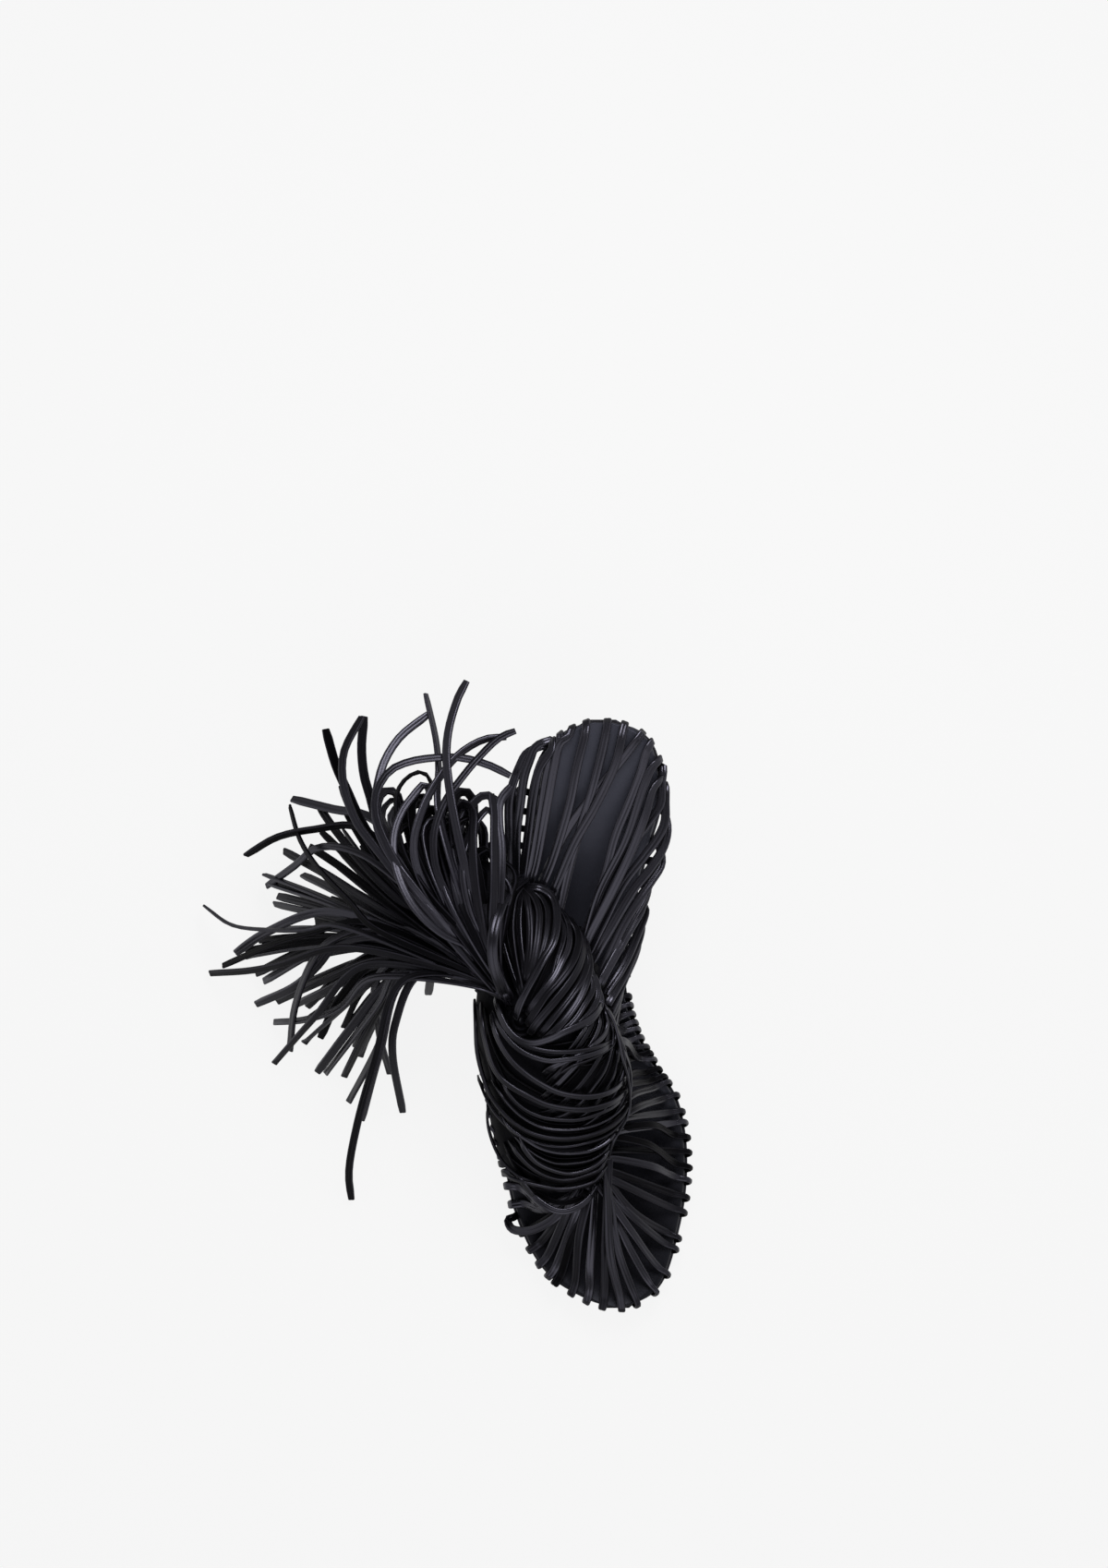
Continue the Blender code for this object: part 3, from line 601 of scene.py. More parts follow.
class MuleFinish(bpy.types.PropertyGroup):
    strip_dark: FloatVectorProperty(
        name="Strip, dark", description="Darkest colour of the strips",
        subtype="COLOR", default=(0.0015, 0.0014, 0.0016),
    )
    strip_light: FloatVectorProperty(
        name="Strip, light", description="Lightest colour of the strips",
        subtype="COLOR", default=(0.004, 0.0038, 0.0048),
    )
    fringe_dark: FloatVectorProperty(
        name="Fringe, dark", description="Darkest colour of the fringe",
        subtype="COLOR", default=(0.0015, 0.0014, 0.0017),
    )
    fringe_light: FloatVectorProperty(
        name="Fringe, light", description="Lightest colour of the fringe",
        subtype="COLOR", default=(0.0042, 0.0039, 0.0053),
    )
    footbed_dark: FloatVectorProperty(
        name="Footbed, dark", description="Footbed in its grain",
        subtype="COLOR", default=(0.02, 0.0205, 0.028),
    )
    footbed_light: FloatVectorProperty(
        name="Footbed, light", description="Footbed on its grain",
        subtype="COLOR", default=(0.034, 0.035, 0.047),
    )
    sole_colour: FloatVectorProperty(
        name="Sole", description="Edge and underside of the sole",
        subtype="COLOR", default=(0.012, 0.011, 0.011),
    )
    heel_colour: FloatVectorProperty(
        name="Heel cover", description="Leather over the heel",
        subtype="COLOR", default=(0.012, 0.011, 0.012),
    )


class MuleStage(bpy.types.PropertyGroup):
    floor_colour: FloatVectorProperty(
        name="Floor", description="Colour of the pale floor", subtype="COLOR", default=(0.06, 0.06, 0.06)
    )
    glow: FloatProperty(name="Glow", description="Light of the floor itself", default=0.872, min=0.0)
    surround: FloatProperty(
        name="Surround", description="Dim light from everywhere above", default=0.13, min=0.0
    )
    low: FloatProperty(name="Low", description="Dim light from the horizon down", default=0.22, min=0.0)
    fill: FloatProperty(name="Fill", description="Soft light low on the toe's side", default=1.3, min=0.0)
    sides: FloatProperty(
        name="Sides", description="Soft light from the left and right", default=0.45, min=0.0
    )
    key: FloatProperty(name="Key", description="Power of the large light over the heel", default=1.9, min=0.0)
    key_size: FloatProperty(
        name="Key size", description="Side of the large light", default=0.24, min=0.01, unit="LENGTH"
    )


def unit(vectors):
    return vectors / np.maximum(np.linalg.norm(vectors, axis=-1, keepdims=True), 1e-9)


def ramp(values, start, stop):
    """From 0 at start to 1 at stop."""
    return np.clip((values - start) / (stop - start), 0, 1)


def run_length(points):
    """Length along a path up to each of its points."""
    return np.append(0, np.cumsum(np.linalg.norm(np.diff(points, axis=0), axis=1)))


def level_across(path):
    """The level direction across a path at each of its points."""
    ahead = np.gradient(path, axis=0)
    return np.column_stack([-ahead[:, 1], ahead[:, 0], np.zeros(len(path))])


def curve(rows, count, columns=3, crowd=1.0):
    """count points on a smooth curve through these rows, crowded to its start where crowd is over 1.

    The first columns are the place; the others are carried along.
    """
    rows = np.asarray(rows, float)
    step = np.sqrt(np.linalg.norm(np.diff(rows[:, :columns], axis=0), axis=1)) + 1e-6
    slope = np.diff(rows, axis=0) / step[:, None]
    tangent = np.empty_like(rows)
    tangent[0] = slope[0]
    tangent[-1] = slope[-1]
    before = step[:-1, None]
    after = step[1:, None]
    tangent[1:-1] = (slope[:-1] * after + slope[1:] * before) / (before + after)
    share = np.linspace(0, 1, 16)[:, None]
    fine = []
    for i in range(len(step)):
        t = share if i == len(step) - 1 else share[:-1]
        fine.append(
            (2 * t**3 - 3 * t**2 + 1) * rows[i]
            + (t**3 - 2 * t**2 + t) * step[i] * tangent[i]
            + (3 * t**2 - 2 * t**3) * rows[i + 1]
            + (t**3 - t**2) * step[i] * tangent[i + 1]
        )
    fine = np.vstack(fine)
    length = run_length(fine[:, :columns])
    at = length[-1] * np.linspace(0, 1, count) ** crowd
    return np.column_stack([np.interp(at, length, column) for column in fine.T])


def between(guides, row, count):
    """A curve between two neighbouring guides of a table."""
    low = min(int(row), len(guides) - 2)
    share = row - low
    first = curve(guides[low], count, columns=2)
    second = curve(guides[low + 1], count, columns=2)
    return first * (1 - share) + second * share


def seen_at(x, y, z):
    """The point at height z that the camera sees over this point of the floor."""
    share = 1 - np.asarray(z, float) / CAMERA_Z
    real_x = CAMERA_X + (x - CAMERA_X) * share
    real_y = CAMERA_Y + (y - CAMERA_Y) * share
    return np.stack([real_x, real_y, z + 0 * share], axis=-1)


def insole_top(y):
    """Height of the top of the insole above the floor."""
    t = np.clip((y - RISE_FROM_Y) / (RISE_TO_Y - RISE_FROM_Y), 0, None)
    rise = np.where(t < 1, 3 * t**2 - 2 * t**3 + SEAT_SLOPE * (t**3 - t**2), 1 + SEAT_SLOPE * (t - 1))
    toe = np.clip((SPRING_FROM_Y - y) / (SPRING_FROM_Y - OUTLINE[-1][0]), 0, None)
    return BALL_TOP + HEEL_RISE * rise + TOE_SPRING * toe**2


def outline_ring(count):
    """The closed outline of the insole as even points, with the tangent and the outward direction at each."""
    rows = np.array(OUTLINE)
    middle = rows[[0, -1], 1:].mean(axis=1)
    inner = rows[:, [2, 0]]
    outer = rows[::-1, [1, 0]]
    heel = [(middle[0], rows[0, 0] + 0.2)]
    toe = [(middle[1], rows[-1, 0] - 0.3)]
    points = curve(np.vstack([heel, inner, toe, outer, heel]), count + 1, columns=2)[:-1]
    along = unit(np.roll(points, -1, axis=0) - np.roll(points, 1, axis=0))
    return points, along, np.column_stack([-along[:, 1], along[:, 0]])


def knot_rows(y):
    """Outer x, inner x, rim and crown of the knot's sections at these y."""
    rows = np.array(KNOT)
    step = np.interp(-np.asarray(y, float), -rows[:, 0], np.arange(len(rows)))
    ends = np.vstack([2 * rows[0] - rows[1], rows, 2 * rows[-1] - rows[-2]])
    low = np.minimum(step.astype(int), len(rows) - 2)
    t = (step - low)[..., None]
    a, b, c, d = (ends[low + i] for i in range(4))
    row = b + 0.5 * t * (c - a + t * (2 * a - 5 * b + 4 * c - d + t * (3 * (b - c) + d - a)))
    return np.moveaxis(row[..., 1:], -1, 0)


def knot_height(x, y):
    outer, inner, rim, crown = knot_rows(y)
    side = np.clip((x - (outer + inner) / 2) / ((inner - outer) / 2), -1, 1)
    return rim + (crown - rim) * (1 - side**2) ** (CROWN_POWER / 2)


def knot_normal(x, y):
    span = 0.8
    steepest = 3
    slope_x = (knot_height(x + span, y) - knot_height(x - span, y)) / (2 * span)
    slope_y = (knot_height(x, y + span) - knot_height(x, y - span)) / (2 * span)
    slopes = np.clip(np.stack([slope_x, slope_y, -np.ones_like(slope_x)], axis=-1), -steepest, steepest)
    return unit(-slopes)


def on_knot(plan, lift):
    """Points, lift above the knot, that the camera sees at these plan points, and the normals there."""
    lift = np.reshape(lift, (-1, 1))
    z = np.full(len(plan), 60.0)
    aside = np.zeros_like(plan)
    for _ in range(8):
        place = seen_at(plan[:, 0], plan[:, 1], z)
        place[:, :2] -= aside
        z = 0.5 * z + 0.5 * knot_height(place[:, 0], place[:, 1])
        normal = knot_normal(place[:, 0], place[:, 1])
        aside = 0.5 * aside + 0.5 * (normal * lift)[:, :2]
    place[:, 2] = z
    return place + normal * lift, normal


def into_knot(point, heading):
    """Where a strip goes into the knot: the first place inside along this heading, or towards its middle."""
    for step in np.arange(0.0, KNOT_REACH):
        x, y = point + step * heading
        if KNOT[-1][0] + 1.0 < y < KNOT[0][0] - 1.0:
            outer, inner, _, _ = knot_rows(y)
            if outer + KNOT_INSET < x < inner - KNOT_INSET:
                return np.array((x, y, knot_height(x, y) - KNOT_INSET))
    return into_knot(point, unit(np.array(KNOT_MIDDLE) - point))


def knot_point(y, degrees, depth):
    """A point of the knot's section at y, by degrees from its outer rim, depth under its surface."""
    outer, inner, rim, crown = knot_rows(y)
    side = math.cos(math.radians(degrees))
    up = math.sin(math.radians(degrees))
    x = (outer + inner) / 2 - (inner - outer) / 2 * side
    return np.array((x + depth * side, y, rim + (crown - rim) * up**CROWN_POWER - depth * up))


def ring_quads(count, sides):
    """Ring and side of each face of a skin over count rings, and the numbers of its four corners."""
    i, j = np.meshgrid(np.arange(count - 1), np.arange(sides), indexing="ij")
    k = (j + 1) % sides
    quads = np.stack([i * sides + j, i * sides + k, (i + 1) * sides + k, (i + 1) * sides + j], axis=-1)
    return i, j, quads.reshape(-1, 4)


class Bundle:
    """Folded strips gathered into one mesh, with a UV map along them and a tone for each."""

    def __init__(self, sizes):
        self.width = sizes.strip_width / MM
        self.thick = sizes.strip_thickness / MM
        self.points = []
        self.faces = []
        self.places = []
        self.tones = []
        self.start = 0

    def add(self, path, across, roll=0.0, tone=0.5, width=1.0, cord=0.0):
        """One strip along a path, flat in the direction across, turned by roll about its length.

        Where cord is 1 it is pulled together into a round cord.
        """
        path = np.asarray(path, float)
        along = unit(np.gradient(path, axis=0))
        flat = unit(across - (across * along).sum(axis=1)[:, None] * along)
        up = np.cross(along, flat)
        turn = np.broadcast_to(np.asarray(roll, float), len(path))[:, None]
        flat, up = flat * np.cos(turn) + up * np.sin(turn), up * np.cos(turn) - flat * np.sin(turn)
        size = np.ones((len(path), 1)) * np.reshape(width, (-1, 1))
        size[[0, -1]] *= END_SIZE
        pulled = np.ones((len(path), 1)) * np.reshape(cord, (-1, 1))
        section = np.array(SECTION)
        rings = path[:, None]
        halves = ((flat, self.width / 2, -CORD_NARROWER), (up, self.thick / 2, CORD_THICKER))
        for (axis, half, change), folded_to, round_to in zip(halves, section.T, unit(section).T):
            shape = (folded_to + pulled * (round_to - folded_to)) * size
            shape *= half * (1 + change * pulled)
            rings = rings + axis[:, None] * shape[:, :, None]
        count, sides = rings.shape[:2]
        self.points.append(rings.reshape(-1, 3))
        length = run_length(path) * MM
        i, j, quads = ring_quads(count, sides)
        self.faces.extend((quads + self.start).tolist())
        u = np.stack([j, j + 1, j + 1, j], axis=-1).reshape(-1) / sides
        v = np.stack([length[i], length[i], length[i + 1], length[i + 1]], axis=-1).reshape(-1)
        self.places.append(np.column_stack([u, v]))
        ends = np.arange(sides)
        for ring, at in ((ends[::-1], 0), (ends, count - 1)):
            self.faces.append((ring + at * sides + self.start).tolist())
            self.places.append(np.column_stack([ring / sides, np.full(sides, length[at])]))
        self.tones.append(np.full(count * sides, tone))
        self.start += count * sides

    def build(self, name, look):
        mesh = bpy.data.meshes.new(name)
        mesh.from_pydata((np.vstack(self.points) * MM).tolist(), [], self.faces)
        layer = mesh.uv_layers.new(name="strip")
        layer.data.foreach_set("uv", np.vstack(self.places).astype(np.float32).ravel())
        tone = mesh.attributes.new("tone", "FLOAT", "POINT")
        tone.data.foreach_set("value", np.concatenate(self.tones).astype(np.float32))
        return finished(name, mesh, look, SMOOTH_ANGLE)


def only(obj):
    """Selects this object and no other."""
    bpy.ops.object.select_all(action="DESELECT")
    obj.select_set(True)
    bpy.context.view_layer.objects.active = obj


def smooth(obj, angle):
    """Shades an object smooth up to an angle in degrees."""
    only(obj)
    bpy.ops.object.shade_smooth_by_angle(angle=math.radians(angle))


def finished(name, mesh, look, angle):
    """An object of this mesh, outward facing and smooth up to an angle."""
    bm = bmesh.new()
    bm.from_mesh(mesh)
    bmesh.ops.recalc_face_normals(bm, faces=bm.faces)
    bm.to_mesh(mesh)
    bm.free()
    mesh.materials.append(look)
    made = bpy.data.objects.new(name, mesh)
    bpy.context.scene.collection.objects.link(made)
    smooth(made, angle)
    return made


def loft(name, rings, look, angle=SMOOTH_ANGLE):
    """A closed skin through rings of points in millimetres."""
    rings = np.asarray(rings, float)
    count, sides = rings.shape[:2]
    faces = ring_quads(count, sides)[2].tolist()
    faces.append(list(range(sides)))
    faces.append(list(range((count - 1) * sides, count * sides)))
    mesh = bpy.data.meshes.new(name)
    mesh.from_pydata((rings.reshape(-1, 3) * MM).tolist(), [], faces)
    return finished(name, mesh, look, angle)


def named(name):
    """The object that an operator has just made, under this name."""
    made = bpy.context.object
    made.name = name
    made.data.name = name
    return made


def edit_faces(obj, wanted):
    """Goes into edit mode with only the faces selected that are wanted."""
    bpy.ops.object.mode_set(mode="EDIT")
    bpy.ops.mesh.select_mode(type="FACE")
    bpy.ops.mesh.select_all(action="DESELECT")
    bm = bmesh.from_edit_mesh(obj.data)
    for face in bm.faces:
        face.select_set(wanted(face))
    bmesh.update_edit_mesh(obj.data)


def node(tree, kind, **values):
    """A shader node, with its settings and the values of its unlinked sockets."""
    made = tree.nodes.new(kind)
    for key, value in values.items():
        if key in made.bl_rna.properties:
            setattr(made, key, value)
        else:
            made.inputs[key.replace("_", " ")].default_value = value
    return made


def math_node(tree, operation, first, second=None):
    made = node(tree, "ShaderNodeMath", operation=operation)
    for socket, value in zip(made.inputs, (first, second)):
        if value is None:
            continue
        if isinstance(value, (int, float)):
            socket.default_value = value
        else:
            tree.links.new(value, socket)
    return made.outputs[0]


def noise(tree, place, scale, detail, roughness=0.5):
    made = node(tree, "ShaderNodeTexNoise", Scale=scale, Detail=detail, Roughness=roughness)
    tree.links.new(place, made.inputs["Vector"])
    return made.outputs["Fac"]


def stretched(tree, place, scale):
    made = node(tree, "ShaderNodeMapping", Scale=scale)
    tree.links.new(place, made.inputs["Vector"])
    return made.outputs["Vector"]


def map_range(tree, value, start, stop, low=0.0, high=1.0, **settings):
    """A value between start and stop, moved to between low and high and held there."""
    made = node(
        tree, "ShaderNodeMapRange", From_Min=start, From_Max=stop, To_Min=low, To_Max=high, **settings
    )
    tree.links.new(value, made.inputs["Value"])
    return made.outputs["Result"]


def by_tone(tree, tone, low, high):
    """A value between low and high by the usual range of a tone."""
    return map_range(tree, tone, 0.25, 0.8, low, high)


def bump(tree, height, strength, distance):
    made = node(tree, "ShaderNodeBump", Strength=strength, Distance=distance)
    tree.links.new(height, made.inputs["Height"])
    return made.outputs["Normal"]


def colour_sockets(sockets):
    return [socket for socket in sockets if socket.type == "RGBA"]


def mix_colour(tree, factor, first, second):
    """A mix of two colours, each given as a value or as the output of another node."""
    made = node(tree, "ShaderNodeMix", data_type="RGBA")
    for socket, colour in zip(colour_sockets(made.inputs), (first, second)):
        if isinstance(colour, bpy.types.NodeSocket):
            tree.links.new(colour, socket)
        else:
            socket.default_value = (*colour, 1.0)
    tree.links.new(factor, made.inputs[0])
    return colour_sockets(made.outputs)[0]


def lighter(colour, times):
    return tuple(times * value for value in colour)


def node_group(name, inputs, outputs):
    """An empty shader node group with float inputs, each with its default, and float outputs."""
    tree = bpy.data.node_groups.new(name, "ShaderNodeTree")
    for label, value in inputs:
        socket = tree.interface.new_socket(name=label, in_out="INPUT", socket_type="NodeSocketFloat")
        socket.default_value = value
    for label in outputs:
        tree.interface.new_socket(name=label, in_out="OUTPUT", socket_type="NodeSocketFloat")
    return tree, tree.nodes.new("NodeGroupInput"), tree.nodes.new("NodeGroupOutput")


def grain_group():
    """Leather grain: pebbles, pores and soft wrinkles over the whole piece."""
    name = "leather_grain"
    if name in bpy.data.node_groups:
        return bpy.data.node_groups[name]
    tree, given, result = node_group(name, (("Pebbles", 1400.0), ("Wrinkle", 0.5)), ("Height", "Tone"))
    place = node(tree, "ShaderNodeTexCoord").outputs["Object"]
    pebbles = node(tree, "ShaderNodeTexVoronoi", feature="F1", distance="EUCLIDEAN")
    tree.links.new(place, pebbles.inputs["Vector"])
    tree.links.new(given.outputs["Pebbles"], pebbles.inputs["Scale"])
    pores = noise(tree, place, 2600.0, 2.0)
    wrinkles = noise(tree, place, 190.0, 4.0, 0.62)
    patches = noise(tree, place, 46.0, 3.0)
    domes = math_node(tree, "SUBTRACT", 1.0, pebbles.outputs["Distance"])
    fine = math_node(tree, "MULTIPLY", pores, 0.35)
    height = math_node(tree, "ADD", math_node(tree, "MULTIPLY", domes, 0.5), fine)
    folds = math_node(tree, "MULTIPLY", wrinkles, given.outputs["Wrinkle"])
    tree.links.new(math_node(tree, "ADD", height, folds), result.inputs["Height"])
    tone = math_node(tree, "ADD", math_node(tree, "MULTIPLY", patches, 0.7), fine)
    tree.links.new(tone, result.inputs["Tone"])
    return tree


def fold_group():
    """A folded strip: lengthwise drawn lines, small cross creases, and lighter upper edges, partly wear and
    partly painted highlight.
    """
    name = "strip_fold"
    if name in bpy.data.node_groups:
        return bpy.data.node_groups[name]
    tree, given, result = node_group(name, (("Lines", 1.0), ("Creases", 0.6)), ("Height", "Wear and highlight", "Tone"))
    place = node(tree, "ShaderNodeUVMap", uv_map="strip").outputs["UV"]
    lines = noise(tree, stretched(tree, place, (26.0, 60.0, 1.0)), 1.0, 3.0, 0.55)
    creases = noise(tree, stretched(tree, place, (2.0, 520.0, 1.0)), 1.0, 4.0, 0.6)
    along = math_node(tree, "MULTIPLY", lines, given.outputs["Lines"])
    cross = math_node(tree, "MULTIPLY", creases, given.outputs["Creases"])
    tree.links.new(math_node(tree, "ADD", along, cross), result.inputs["Height"])
    parts = node(tree, "ShaderNodeSeparateXYZ")
    tree.links.new(place, parts.inputs["Vector"])
    off_middle = math_node(tree, "ABSOLUTE", math_node(tree, "SUBTRACT", parts.outputs["X"], 0.5))
    to_edge = math_node(tree, "ABSOLUTE", math_node(tree, "SUBTRACT", off_middle, 0.22))
    # Painted highlight and wear: the upper edges of each strip, where its fold catches the light, are marked
    # lighter.
    worn_and_lit_edges = map_range(tree, to_edge, 0.06, 0.01)
    tree.links.new(math_node(tree, "MULTIPLY", worn_and_lit_edges, creases), result.inputs["Wear and highlight"])
    tone = node(tree, "ShaderNodeAttribute", attribute_name="tone", attribute_type="GEOMETRY")
    own = math_node(tree, "MULTIPLY", tone.outputs["Fac"], 0.6)
    mottle = math_node(tree, "MULTIPLY", lines, 0.45)
    tree.links.new(math_node(tree, "ADD", own, mottle), result.inputs["Tone"])
    return tree


def new_look(name):
    """A material with its node tree and its shader."""
    material = bpy.data.materials.new(name)
    material.use_nodes = True
    return material, material.node_tree, shader_of(material)


def shader_of(material):
    return material.node_tree.nodes["Principled BSDF"]


def grain_node(tree, pebbles, wrinkle):
    return node(tree, "ShaderNodeGroup", node_tree=grain_group(), Pebbles=pebbles, Wrinkle=wrinkle)


def grained(name, dark, light, roughness, pebbles, wrinkle, depth, coat=0.0):
    """Smooth leather with its grain, for the footbed, the sole, the heel and the wall of the knot."""
    material, tree, shader = new_look(name)
    grain = grain_node(tree, pebbles, wrinkle)
    tone = grain.outputs["Tone"]
    tree.links.new(mix_colour(tree, by_tone(tree, tone, 0.0, 1.0), dark, light), shader.inputs["Base Color"])
    tree.links.new(by_tone(tree, tone, roughness + 0.07, roughness - 0.07), shader.inputs["Roughness"])
    tree.links.new(bump(tree, grain.outputs["Height"], 0.55, depth * MM), shader.inputs["Normal"])
    shader.inputs["Specular IOR Level"].default_value = 0.5
    shader.inputs["Specular Tint"].default_value = (0.76, 0.77, 1.0, 1.0)
    shader.inputs["Coat Weight"].default_value = coat
    shader.inputs["Coat Roughness"].default_value = 0.32
    return material


def folded(name, dark, light, roughness):
    """Leather of the folded strips: grain, drawn lines along the strip, faded places, and worn edges
    lightened also as a painted highlight.
    """
    material, tree, shader = new_look(name)
    grain = grain_node(tree, 1900.0, 0.35)
    fold = node(tree, "ShaderNodeGroup", node_tree=fold_group())
    tone = fold.outputs["Tone"]
    body = mix_colour(tree, by_tone(tree, tone, 0.0, 1.0), dark, light)
    # Tones over 0.9 turn paler: faded at random, and on the heel's strips painted light.
    pale = mix_colour(tree, map_range(tree, tone, 0.9, 1.7), body, lighter(light, 5))
    worn_and_lit_edges = mix_colour(tree, fold.outputs["Wear and highlight"], pale, lighter(light, 7))
    tree.links.new(worn_and_lit_edges, shader.inputs["Base Color"])
    tree.links.new(by_tone(tree, tone, roughness + 0.08, roughness - 0.08), shader.inputs["Roughness"])
    fine = math_node(tree, "MULTIPLY", grain.outputs["Height"], 0.5)
    height = math_node(tree, "ADD", fold.outputs["Height"], fine)
    tree.links.new(bump(tree, height, 0.2, 0.14 * MM), shader.inputs["Normal"])
    # Gloss follows the tone, so the darkest strips, such as the knot's under-layer and the coil, also lose
    # gloss as painted shade.
    tree.links.new(by_tone(tree, tone, 0.05, 0.62), shader.inputs["Specular IOR Level"])
    shader.inputs["Specular Tint"].default_value = (0.82, 0.8, 1.0, 1.0)
    return material


def speckled(name, colour, roughness):
    """Rubber of the top piece: matt, with a fine moulded speckle."""
    material, tree, shader = new_look(name)
    speckle = noise(tree, node(tree, "ShaderNodeTexCoord").outputs["Object"], 1800.0, 3.0)
    tree.links.new(mix_colour(tree, speckle, colour, lighter(colour, 1.6)), shader.inputs["Base Color"])
    tree.links.new(bump(tree, speckle, 0.4, 0.1 * MM), shader.inputs["Normal"])
    shader.inputs["Roughness"].default_value = roughness
    return material


def set_down(piece, slot, *nodes):
    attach(piece, "root")
    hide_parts(*nodes)


def sole_stations(count):
    """y, outer x and inner x of even sections, closer together at the round ends."""
    rows = np.array(OUTLINE)
    fine = curve(rows[:, [1, 0, 2]], 600, columns=2)
    length = np.append(0, np.cumsum(np.hypot(*np.diff(fine[:, :2], axis=0).T)))
    at = np.linspace(0, length[-1], count)
    outer, y, inner = (np.interp(at, length, column) for column in fine.T)
    return np.column_stack([y, outer, inner])


def arc(start, middle, end, count=6):
    """Points of a rounded corner from start to end about a control point."""
    t = np.linspace(0, 1, count)[:, None]
    return (1 - t) ** 2 * np.array(start) + 2 * t * (1 - t) * np.array(middle) + t**2 * np.array(end)


def level_run(start, stop, z):
    """Points of a level run between two edges, without its ends."""
    x = np.linspace(start, stop, SOLE_FLAT_POINTS)[1:-1]
    return np.column_stack([x, np.full(len(x), z)])


def set_at(y, stretches):
    """The ring of a section from its stretches of x and z, set at y."""
    ring = np.vstack(stretches)
    return np.column_stack([ring[:, 0], np.full(len(ring), y), ring[:, 1]])


class MULE_OT_sole(bpy.types.Operator):
    """Make the outsole with its rounded lower edge"""

    bl_idname = "mule.sole"
    bl_label = "Sole"

    def execute(self, context):
        colour = context.scene.mule_finish.sole_colour
        look = grained("sole_leather", colour, lighter(colour, 1.7), 0.5, 1200.0, 0.5, 0.12)
        rows = sole_stations(context.scene.mule_sizes.sole_sections)
        rows[0, 0] += EDGE_OUT
        rows[-1, 0] -= EDGE_OUT
        rings = []
        for y, outer, inner in rows:
            top = float(insole_top(y)) - PAD - SLOT
            low = top - OUTSOLE
            x = outer - EDGE_OUT
            left = np.vstack([
                arc((x + SOLE_FOOT_X, low), (x, low), (x, low + SOLE_FOOT_Z)),
                arc((x, top - SOLE_CORNER), (x, top), (x + SOLE_CORNER, top), 4),
            ])
            x = inner + EDGE_OUT
            right = np.vstack([
                arc((x - SOLE_CORNER, top), (x, top), (x, top - SOLE_CORNER), 4),
                arc((x, low + SOLE_FOOT_Z), (x, low), (x - SOLE_FOOT_X, low)),
            ])
            upper = level_run(left[-1, 0], right[0, 0], top)
            lower = level_run(right[-1, 0], left[0, 0], low)
            rings.append(set_at(y, [left, upper, right, lower]))
        piece = loft("sole", rings, look)
        set_down(piece, "sole_leather", "outsole")
        return {"FINISHED"}


def squared(values):
    """A sine or cosine, or an array of them, made squarer for the sections of the heel."""
    return np.sign(values) * np.abs(values) ** (2 / HEEL_SQUARENESS)


class MULE_OT_heel(bpy.types.Operator):
    """Make the covered heel and its rubber top piece"""

    bl_idname = "mule.heel"
    bl_label = "Heel"

    def execute(self, context):
        colour = context.scene.mule_finish.heel_colour
        cover = grained("heel_cover", colour, lighter(colour, 1.8), 0.36, 1500.0, 0.35, 0.12, 0.15)
        foot, middle, half_y, half_x = HEEL[0]
        turns = np.linspace(0, 2 * math.pi, HEEL_SIDES, endpoint=False)
        fine = curve(HEEL, 400, columns=1)
        x = HEEL_X + fine[:, 3:4] * squared(np.cos(turns))
        y = fine[:, 1:2] + fine[:, 2:3] * squared(np.sin(turns))
        z = np.broadcast_to(fine[:, :1], x.shape)
        room = insole_top(y) - BALL_TOP - GAP - z
        tops = np.array([np.interp(0, -room[:, i], z[:, i]) for i in range(HEEL_SIDES)])
        rings = []
        for share in np.linspace(0, 1, HEEL_RINGS):
            level = foot + share * (tops - foot)
            rings.append([
                (np.interp(h, z[:, i], x[:, i]), np.interp(h, z[:, i], y[:, i]), h)
                for i, h in enumerate(level)
            ])
        smaller = [
            (HEEL_X + HEEL_FOOT * (a - HEEL_X), middle + HEEL_FOOT * (b - middle), c) for a, b, c in rings[0]
        ]
        rings[0] = [(a, b, c + HEEL_CHAMFER) for a, b, c in rings[0]]
        piece = loft("heel_block", [smaller, *rings], cover, HEEL_SMOOTH_ANGLE)
        set_down(piece, "heel_cover", "heel")

        bpy.ops.object.select_all(action="DESELECT")
        bpy.ops.mesh.primitive_cylinder_add(
            vertices=HEEL_SIDES, radius=1.0, depth=TOP_PIECE * MM, location=(0, 0, 0), end_fill_type="NGON"
        )
        tip = named("heel_tip")
        for vertex in tip.data.vertices:
            turn = math.atan2(vertex.co.y, vertex.co.x)
            vertex.co.x = (HEEL_X + half_x * squared(math.cos(turn))) * MM
            vertex.co.y = (middle + half_y * squared(math.sin(turn))) * MM
            vertex.co.z += TOP_PIECE / 2 * MM
        edit_faces(tip, lambda face: abs(face.normal.z) > 0.9)
        bpy.ops.mesh.bevel(offset=TIP_BEVEL * MM, offset_type="OFFSET", segments=3, affect="EDGES")
        bpy.ops.object.mode_set(mode="OBJECT")
        tip.data.materials.append(speckled("top_piece_rubber", TIP_COLOUR, 0.72))
        smooth(tip, SMOOTH_ANGLE)
        set_down(tip, "top_piece_rubber", "heel_top_piece")
        return {"FINISHED"}


